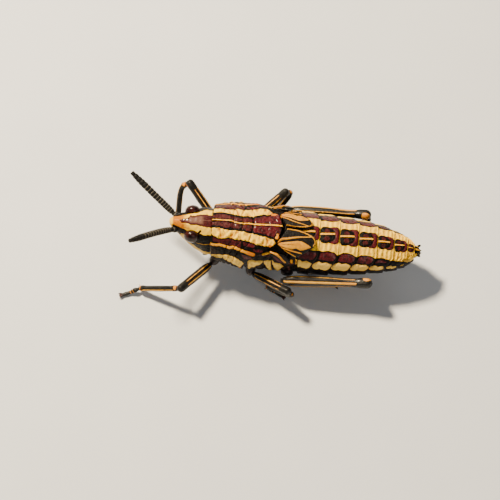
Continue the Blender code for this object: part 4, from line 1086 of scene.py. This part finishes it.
for side, sign in SIDES:
    for part, (points, widths) in MOUTH.items():
        points = np.array(points) * (1, sign, 1)
        path = curve_through(np.column_stack([(0, 0.1, 0.4, 0.7, 1.0), points]), at)
        width = along(widths, at)
        joints = 0.06 - np.minimum(np.abs(at - 0.39), np.abs(at - 0.66))[:, None] * 3
        fields = leg_fields(ochre=-0.3, red=0.5) if part == "mandible" else leg_fields(ochre=joints)
        grid = turned(limb_grid(path, width, width, (1, 0, 0), 24))
        piece = skin(f"{part}_horn_{side}", grid, fields, leg_black)
        stand_for(piece, f"{part}_{side}")

# Each leg is a coxa in its socket, a thigh, a shin and a padded foot, tubes of hard horn with pale lines on
# their keels. The knees are rounded and have orange spots, and the hind thighs are the deepest.

# The coxa's root, the hip, the knee, the ankle and the toe's tip.
LEGS = {
    "left_fore": (
        (10.3, -2.6, 7.0), (9.0, -4.4, 5.1), (3.2, -11.4, 7.5), (-5.5, -10.1, 1.3), (-9.6, -11.7, 0.5),
    ),
    "right_fore": (
        (10.3, 2.6, 7.0), (9.0, 4.4, 5.1), (2.9, 11.1, 8.5), (0.5, 5.4, 1.3), (3.4, 2.6, 0.5),
    ),
    "left_mid": (
        (16.8, -3.6, 6.6), (16.8, -5.8, 4.6), (24.7, -10.3, 7.9), (20.6, -7.4, 1.3), (24.2, -9.2, 0.5),
    ),
    "right_mid": (
        (16.8, 3.6, 6.6), (16.7, 5.9, 4.7), (22.6, 10.9, 8.4), (19.3, 6.9, 1.3), (22.5, 8.9, 0.5),
    ),
    "left_hind": (
        (24.2, -3.9, 6.4), (24.3, -6.1, 6.2), (40.6, -7.4, 8.4), (29.6, -5.7, 1.7), (34.8, -5.8, 0.5),
    ),
    "right_hind": (
        (24.2, 3.9, 6.4), (24.3, 6.1, 6.2), (39.4, 7.4, 8.4), (28.6, 5.7, 1.7), (33.8, 5.8, 0.5),
    ),
}
# Half widths at each share of a segment's length.
FORE_COXA = ((0, 1.0), (0.35, 1.08), (0.7, 1.0), (0.9, 0.75), (1.0, 0.35))
HIND_COXA = ((0, 1.15), (0.35, 1.25), (0.75, 1.25), (0.92, 1.0), (1.0, 0.45))
FORE_FEMUR = ((0.0, 0.5), (0.06, 0.7), (0.25, 0.9), (0.6, 0.92), (0.84, 0.87), (0.94, 0.9), (1.0, 0.88))
HIND_ACROSS = ((0.0, 0.6), (0.05, 0.95), (0.2, 1.12), (0.5, 1.05), (0.8, 0.85), (0.93, 1.05), (1.0, 1.05))
HIND_DEEP = ((0.0, 0.8), (0.05, 1.3), (0.2, 1.65), (0.5, 1.5), (0.8, 1.0), (0.93, 1.2), (1.0, 1.2))
FORE_TIBIA = ((0.0, 0.55), (0.1, 0.66), (0.2, 0.58), (0.5, 0.62), (0.85, 0.6), (0.95, 0.68), (1.0, 0.5))
HIND_TIBIA = ((0.0, 0.6), (0.08, 0.66), (0.2, 0.6), (0.6, 0.58), (0.9, 0.66), (0.96, 0.76), (1.0, 0.55))
TARSUS = ((0.0, 0.36), (0.12, 0.46), (0.36, 0.5), (0.42, 0.38), (0.5, 0.47), (0.6, 0.36), (0.88, 0.42),
          (1.0, 0.32))
THORN = ((0.0, 1.0), (0.12, 0.85), (0.35, 0.62), (0.6, 0.42), (0.82, 0.24), (0.95, 0.12), (1.0, 0.03))
LIMB_SIDES = 48
SPINES = 9
# The degrees by which a segment may turn away where it leaves a joint.
MOST_BEND = 72
UP = Vector((0, 0, 1))


def ray(start, step, shares):
    """Points on a straight way from start, at shares of the step."""
    return np.array([tuple(start + step * u) for u in shares])


def tilted(way, other, degrees):
    """A direction turned towards another one that stands square to it."""
    return way * math.cos(math.radians(degrees)) + other * math.sin(math.radians(degrees))


def leaving_way(along_way, onward):
    """The direction in which the next segment leaves a joint, never folded back too far."""
    along_way, onward = along_way.normalized(), onward.normalized()
    if math.degrees(along_way.angle(onward)) <= MOST_BEND:
        return onward
    return tilted(along_way, (onward - onward.dot(along_way) * along_way).normalized(), MOST_BEND)


def facing(path, across):
    """The outward direction at every point of a limb's rings."""
    side, up = frames_along(path, across)
    turn = circle(LIMB_SIDES)[None, :, None]
    return np.cos(turn) * side[:, None] + np.sin(turn) * up[:, None]


def keels(at, size, marks):
    """How far a limb's keels stand out, and how deep inside each pale line its points are."""
    turn = np.degrees(circle(LIMB_SIDES))[None, :]
    reach, pale = 1.0, np.full((len(at), LIMB_SIDES), -1.0)
    for place, strength, half, start, stop in marks:
        off = np.abs((turn - place + 180) % 360 - 180)
        reach = reach + strength * bump(off, 0, 13)
        if half > 0:
            ends = between(at[:, None], start, stop) * 12
            pale = most(pale, least(half - off * 0.0175 * size[:, None], ends))
    return reach, pale


def limb(name, path, wide, deep, across, shape, fields):
    """A closed segment of a leg."""
    grid = limb_grid(path, wide, deep, across, LIMB_SIDES, shape)
    return skin(name, grid, fields, leg_black, (path[0], path[-1]))


thorn_ochre = np.array((0.3, 0.25, 0.15, 0.02, -0.1, -0.3, -0.3))[:, None]
thorn = lathe("thorn", THORN, 12, leg_fields(ochre=thorn_ochre, warm=0.3), leg_black)
for name in LEGS:
    side, station = name.split("_")
    hind = station == "hind"
    outward = 1 if side == "right" else -1
    root, hip, knee, ankle, toe = (Vector(p) for p in LEGS[name])
    plane = Vector((0, 1, 0)) if hind else (knee - hip).cross(ankle - knee).normalized()

    # The coxa: a stout barrel from the trunk's wall to the hip.
    at = np.linspace(0, 1, 30)
    way = (hip - root).normalized()
    reach = (hip - root).length + (0.25 if hind else 0.55)
    path = ray(root, way * reach, at)
    width = along(HIND_COXA if hind else FORE_COXA, at)
    shape, _ = keels(at, width, ((90, 0.05, 0, 0, 1), (-90, 0.05, 0, 0, 1)))
    fields = leg_fields(ochre=-0.3, red=0.12 * bump(at, 0.75, 0.15)[:, None], warm=0.2)
    coxa = limb(f"coxa_barrel_{name}", path, width, width, (1, 0, 0), shape, fields)
    stand_for(coxa, f"coxa_{name}")

    # The thigh, from the ring at its base to the rounded knee.
    if hind:
        start = hip + Vector((-0.8, 1.55 * outward, 0.25))
    else:
        start = hip + (knee - hip).normalized() * 0.75
    way = (knee - start).normalized()
    span = (knee - start).length
    across_table, deep_table = (HIND_ACROSS, HIND_DEEP) if hind else (FORE_FEMUR, FORE_FEMUR)
    knee_deep = deep_table[-1][1]
    at = np.concatenate([np.linspace(0, 0.06, 8), np.linspace(0.07, 0.93, 76), np.linspace(0.94, 1.0, 14)])
    place = (at * (span + knee_deep * 0.9 + 0.35) - 0.35) / span
    ends = np.clip(1 - ((place - 1) * span / (knee_deep * 0.92)) ** 2, 0.02, 1) ** 0.5
    ends = np.where(place > 1, ends, 1.0) * np.where(place < 0, 0.75, 1.0)
    wide, deep = along(across_table, place) * ends, along(deep_table, place) * ends
    path = ray(start, way * span, place)
    # Each keel's turn, height, half width of its pale line, and the line's start and end.
    if hind:
        marks = ((90 - 38 * outward, 0.09, 0.26, 0.02, 0.88), (90 + 24 * outward, 0.06, 0.085, 0.05, 0.86),
                 (-90 + 30 * outward, 0.07, 0.13, 0.05, 0.85), (-90 - 26 * outward, 0.06, 0.06, 0.05, 0.85),
                 (90 - 90 * outward, 0.03, 0.05, 0.1, 0.82), (90 - 72 * outward, 0.03, 0.04, 0.14, 0.76),
                 (90 - 106 * outward, 0.03, 0.04, 0.14, 0.76))
    else:
        thin = 0.06 if station == "fore" else 0.04
        marks = ((90, 0.06, 0.085, 0.06, 0.84), (38, 0.05, thin, 0.1, 0.82), (142, 0.05, thin, 0.1, 0.82),
                 (-90, 0.05, 0.09, 0.1, 0.84), (-35, 0.03, 0, 0, 1), (-145, 0.03, 0, 0, 1))
    shape, pale = keels(place, 0.5 * (wide + deep), marks)
    if hind:
        shape = shape * (1 - 0.07 * bump(place, 0.88, 0.035))[:, None]
    shape = shape * (1 - 0.12 * bump(place, 0.035, 0.012)[:, None])
    onward = leaving_way(way, ankle - knee)
    normals = facing(path, plane)
    if hind:
        inward = -outward * normals[..., 1] + 0.7 * normals[..., 2]
        blotch = 0.62 - np.hypot((place - 1.0)[:, None] * span * 0.75, (1.22 - inward) * 1.3)
    else:
        blotch = np.minimum(0.42 - np.abs(place - 0.99)[:, None] * span, normals @ np.array(onward) - 0.45)
    warm = 0.35 * ease(place, 0.5, 0.9) + (0.1 if hind else 0.6) * ease(place, 0.9, 0.96)
    fields = leg_fields(ochre=most(pale, blotch), warm=np.clip(warm, 0, 1)[:, None])
    femur = limb(f"thigh_{name}", path, wide / 1.04, deep / 1.04, plane, shape, fields)
    stand_for(femur, f"femur_{name}")

    # The shin: bent at the knee, straight, and widened at the ankle.
    table = HIND_TIBIA if hind else FORE_TIBIA
    ankle_deep = table[-1][1]
    shin_start = knee + onward * (0.7 * knee_deep + 0.3)
    shin_way = (ankle - shin_start).normalized()
    at = np.concatenate([np.linspace(0, 0.1, 12), np.linspace(0.11, 0.9, 64), np.linspace(0.91, 1.0, 12)])
    main = bezier(shin_start, shin_start + onward * 2.2, ankle - shin_way * 3.5, ankle, at)
    end_way = Vector(main[-1] - main[-2]).normalized()
    lead = ray(knee, onward, np.linspace(0.25 * knee_deep, 0.7 * knee_deep + 0.2, 6))
    tail = ray(ankle, end_way * ankle_deep, (0.3, 0.6, 0.85, 0.97))
    path = np.concatenate([lead, main, tail])
    tail_width = ankle_deep * np.array((0.96, 0.82, 0.55, 0.25))
    width = np.concatenate([np.linspace(0.5, 0.56, 6), along(table, at), tail_width])
    place = np.concatenate([np.linspace(-0.08, -0.01, 6), at, (1.01, 1.02, 1.03, 1.04)])
    upper = 55 if side == "right" and not hind else 90
    marks = ((upper, 0.05, 0.1, 0.1, 0.93), (-90, 0.05, 0.06, 0.1, 0.93), (0, 0.03, 0, 0, 1),
             (180, 0.03, 0, 0, 1))
    shape, pale = keels(place, width, marks)
    pale = most(pale, np.minimum(0.05 - np.abs(place - 0.97)[:, None] * 4, 0.2))
    if not hind:
        off = (1 - facing(path, plane)[..., 2]) * 0.8
        pale = most(pale, 0.45 - np.hypot((place - 0.04)[:, None] * (ankle - shin_start).length, off))
    warm = 0.8 * np.clip(ease(place, 0.88, 0.95) + 1 - ease(place, 0.02, 0.12), 0, 1)
    fields = leg_fields(ochre=pale, warm=warm[:, None])
    tibia = limb(f"shin_{name}", path, width / 1.03, width / 1.03, plane, shape, fields)

    # Its spines and spurs: hollow thorns of horn, pale at the root and black at the point.
    side_way, up_way = frames_along(main, plane)
    spots = []
    if hind:
        back_sign = 1.0 if up_way[30, 2] < 0 else -1.0
        for row in (-1, 1):
            for n in range(SPINES):
                i = int(np.searchsorted(at, 0.3 + 0.6 * n / (SPINES - 1) + 0.015 * (row > 0)))
                out = tilted(up_way[i] * back_sign, side_way[i] * row, 38)
                spots.append((main[i] + out * 0.42, tilted(out, np.array(end_way), 35), (0.2, 0.2, 0.85)))
    down = leaving_way(end_way, Vector((toe.x - ankle.x, toe.y - ankle.y, 0)))
    clear = (down.dot(end_way) * end_way - down).normalized()
    for row in (-1, 1):
        out = Vector(side_way[-1]) * row
        for aside in ((0.7, 1.3) if hind else (0.8,)):
            aim = end_way + out * aside + clear * 0.4 / aside
            spots.append((ankle - end_way * 0.45 + out * 0.3, aim, (0.17, 0.17, 0.95)))
    tibia = join_pieces(f"shin_{name}", [tibia, add_repeats("spines", thorn, spots, leg_black)])
    stand_for(tibia, f"tibia_{name}")

    # The foot: padded segments, and its claws and the soft pad between them, all kept above the floor.
    foot_start = ankle + down * (0.7 * ankle_deep + 0.3)
    flat = Vector((toe.x - foot_start.x, toe.y - foot_start.y, 0)).normalized()
    end = Vector((toe.x, toe.y, 0.42)) - flat * 0.5
    low = Vector((foot_start.x, foot_start.y, 0.42)) + flat * 1.2
    at = np.linspace(0, 1, 70)
    main = bezier(foot_start, foot_start + down * 0.6, low, end, at)
    lead = ray(ankle, down, np.linspace(0.1, 0.7 * ankle_deep + 0.2, 5))
    path = np.concatenate([lead, main, ray(end, flat, (0.12, 0.2, 0.26))])
    width = np.concatenate([(0.2, 0.3, 0.34, 0.35, 0.36), along(TARSUS, at), (0.29, 0.2, 0.08)])
    place = np.concatenate([np.linspace(-0.06, -0.01, 5), at, (1.01, 1.02, 1.03)])
    across = flat.cross(UP)
    grid = limb_grid(path, width, width, across, LIMB_SIDES)
    grid[..., 2] = np.maximum(grid[..., 2], 0.0)
    lobes = 0.1 - np.minimum(np.abs(place - 0.4), np.abs(place - 0.6))[:, None] * 4
    lobes = lobes - 0.2 * (grid[..., 2] < path[:, None, 2])
    pieces = [skin("foot", grid, leg_fields(ochre=lobes, warm=0.6), leg_black, (path[0], path[-1]))]
    centre = np.array(end + flat * 0.3)
    pad = centre + ball(14, 24) * np.array((0.4, 0.4, 0.32))
    pad[..., 2] = np.maximum(pad[..., 2], 0.0)
    poles = (centre + (0, 0, 0.32), (centre[0], centre[1], max(0.0, centre[2] - 0.32)))
    pieces.append(skin("sole_pad", pad, leg_fields(red=0.3), leg_black, poles))
    at = np.linspace(0, 1, 18)
    claw_width = along(((0, 0.2), (0.3, 0.17), (0.7, 0.11), (1, 0.02)), at)
    for row in (-1, 1):
        aim = tilted(flat, across * row, 28)
        base = end - flat * 0.1 + across * row * 0.12 + UP * 0.12
        path = bezier(base, base + aim * 0.4 + UP * 0.12, base + aim * 0.8 + UP * 0.05,
                      base + aim * 0.92 - UP * 0.3, at)
        pieces.append(tube("claw", path, claw_width, across, 16, leg_fields(red=0.15), leg_black))
    foot = join_pieces(f"foot_{name}", pieces)
    stand_for(foot, f"tarsus_{name}")
bpy.data.objects.remove(thorn)

# The museum board is a plain floor of pale painted card, and the model stands on it with nothing to hold it.
# Three round lamps give a strong warm light and two soft ones, and a camera looks down on the back.

tone, shader, board_finish = new_material("pale_board")
colour = tone.mix(tone.noise(0.05, 3.0), (0.66, 0.68, 0.72), (0.72, 0.74, 0.78))
tone.fill(shader, {"Base Color": colour, "Roughness": 0.8})
mesh = bpy.data.meshes.new("board")
mesh.from_pydata([(-2, -2, 0), (2, -2, 0), (2, 2, 0), (-2, 2, 0)], [], [(0, 1, 2, 3)])
mesh.materials.append(board_finish)
show("board", mesh)

world = bpy.data.worlds.new("room")
bpy.context.scene.world = world
world.use_nodes = True
sky = world.node_tree.nodes["Background"]
sky.inputs["Color"].default_value = (0.9, 0.95, 1.0, 1)
sky.inputs["Strength"].default_value = 0.14


def lamp(name, place, size, power, colour):
    """A round lamp that points at the middle of the animal."""
    light = bpy.data.lights.new(name, "AREA")
    light.shape = "DISK"
    light.size = size
    light.energy = power
    light.color = colour
    way = Vector((0, 0, 0.008)) - Vector(place)
    aimed = Matrix.Translation(place) @ way.to_track_quat("-Z", "Y").to_matrix().to_4x4()
    show(name, light).matrix_world = aimed


lamp("key", (-0.2, 0.14, 0.36), 0.06, 6.4, (1.0, 0.84, 0.59))
lamp("fill", (0.25, -0.4, 0.3), 0.3, 0.7, (1.0, 0.92, 0.8))
lamp("back", (0.05, 0.4, 0.25), 0.3, 0.3, (1.0, 0.92, 0.8))

# The camera looks down at 70 degrees on the saddle's left side, where it sees 0.1 m across.
lean, tilt = math.radians(5), math.radians(70)
DISTANCE = 0.4
SEEN_ACROSS = 0.1
right = Vector((math.cos(lean), math.sin(lean), 0))
toward = Vector((math.sin(lean) * math.cos(tilt), -math.cos(lean) * math.cos(tilt), math.sin(tilt)))
above = toward.cross(right)
target = Vector((-0.01215, 0.00015, 0.0165)) + right * 0.0078 - above * 0.0056
lens = bpy.data.cameras.new("camera")
lens.sensor_width = 36
lens.lens = lens.sensor_width * DISTANCE / SEEN_ACROSS
camera = show("camera", lens)
facing_matrix = Matrix((right, above, toward)).transposed().to_4x4()
camera.matrix_world = Matrix.Translation(target + toward * DISTANCE) @ facing_matrix
bpy.context.scene.camera = camera
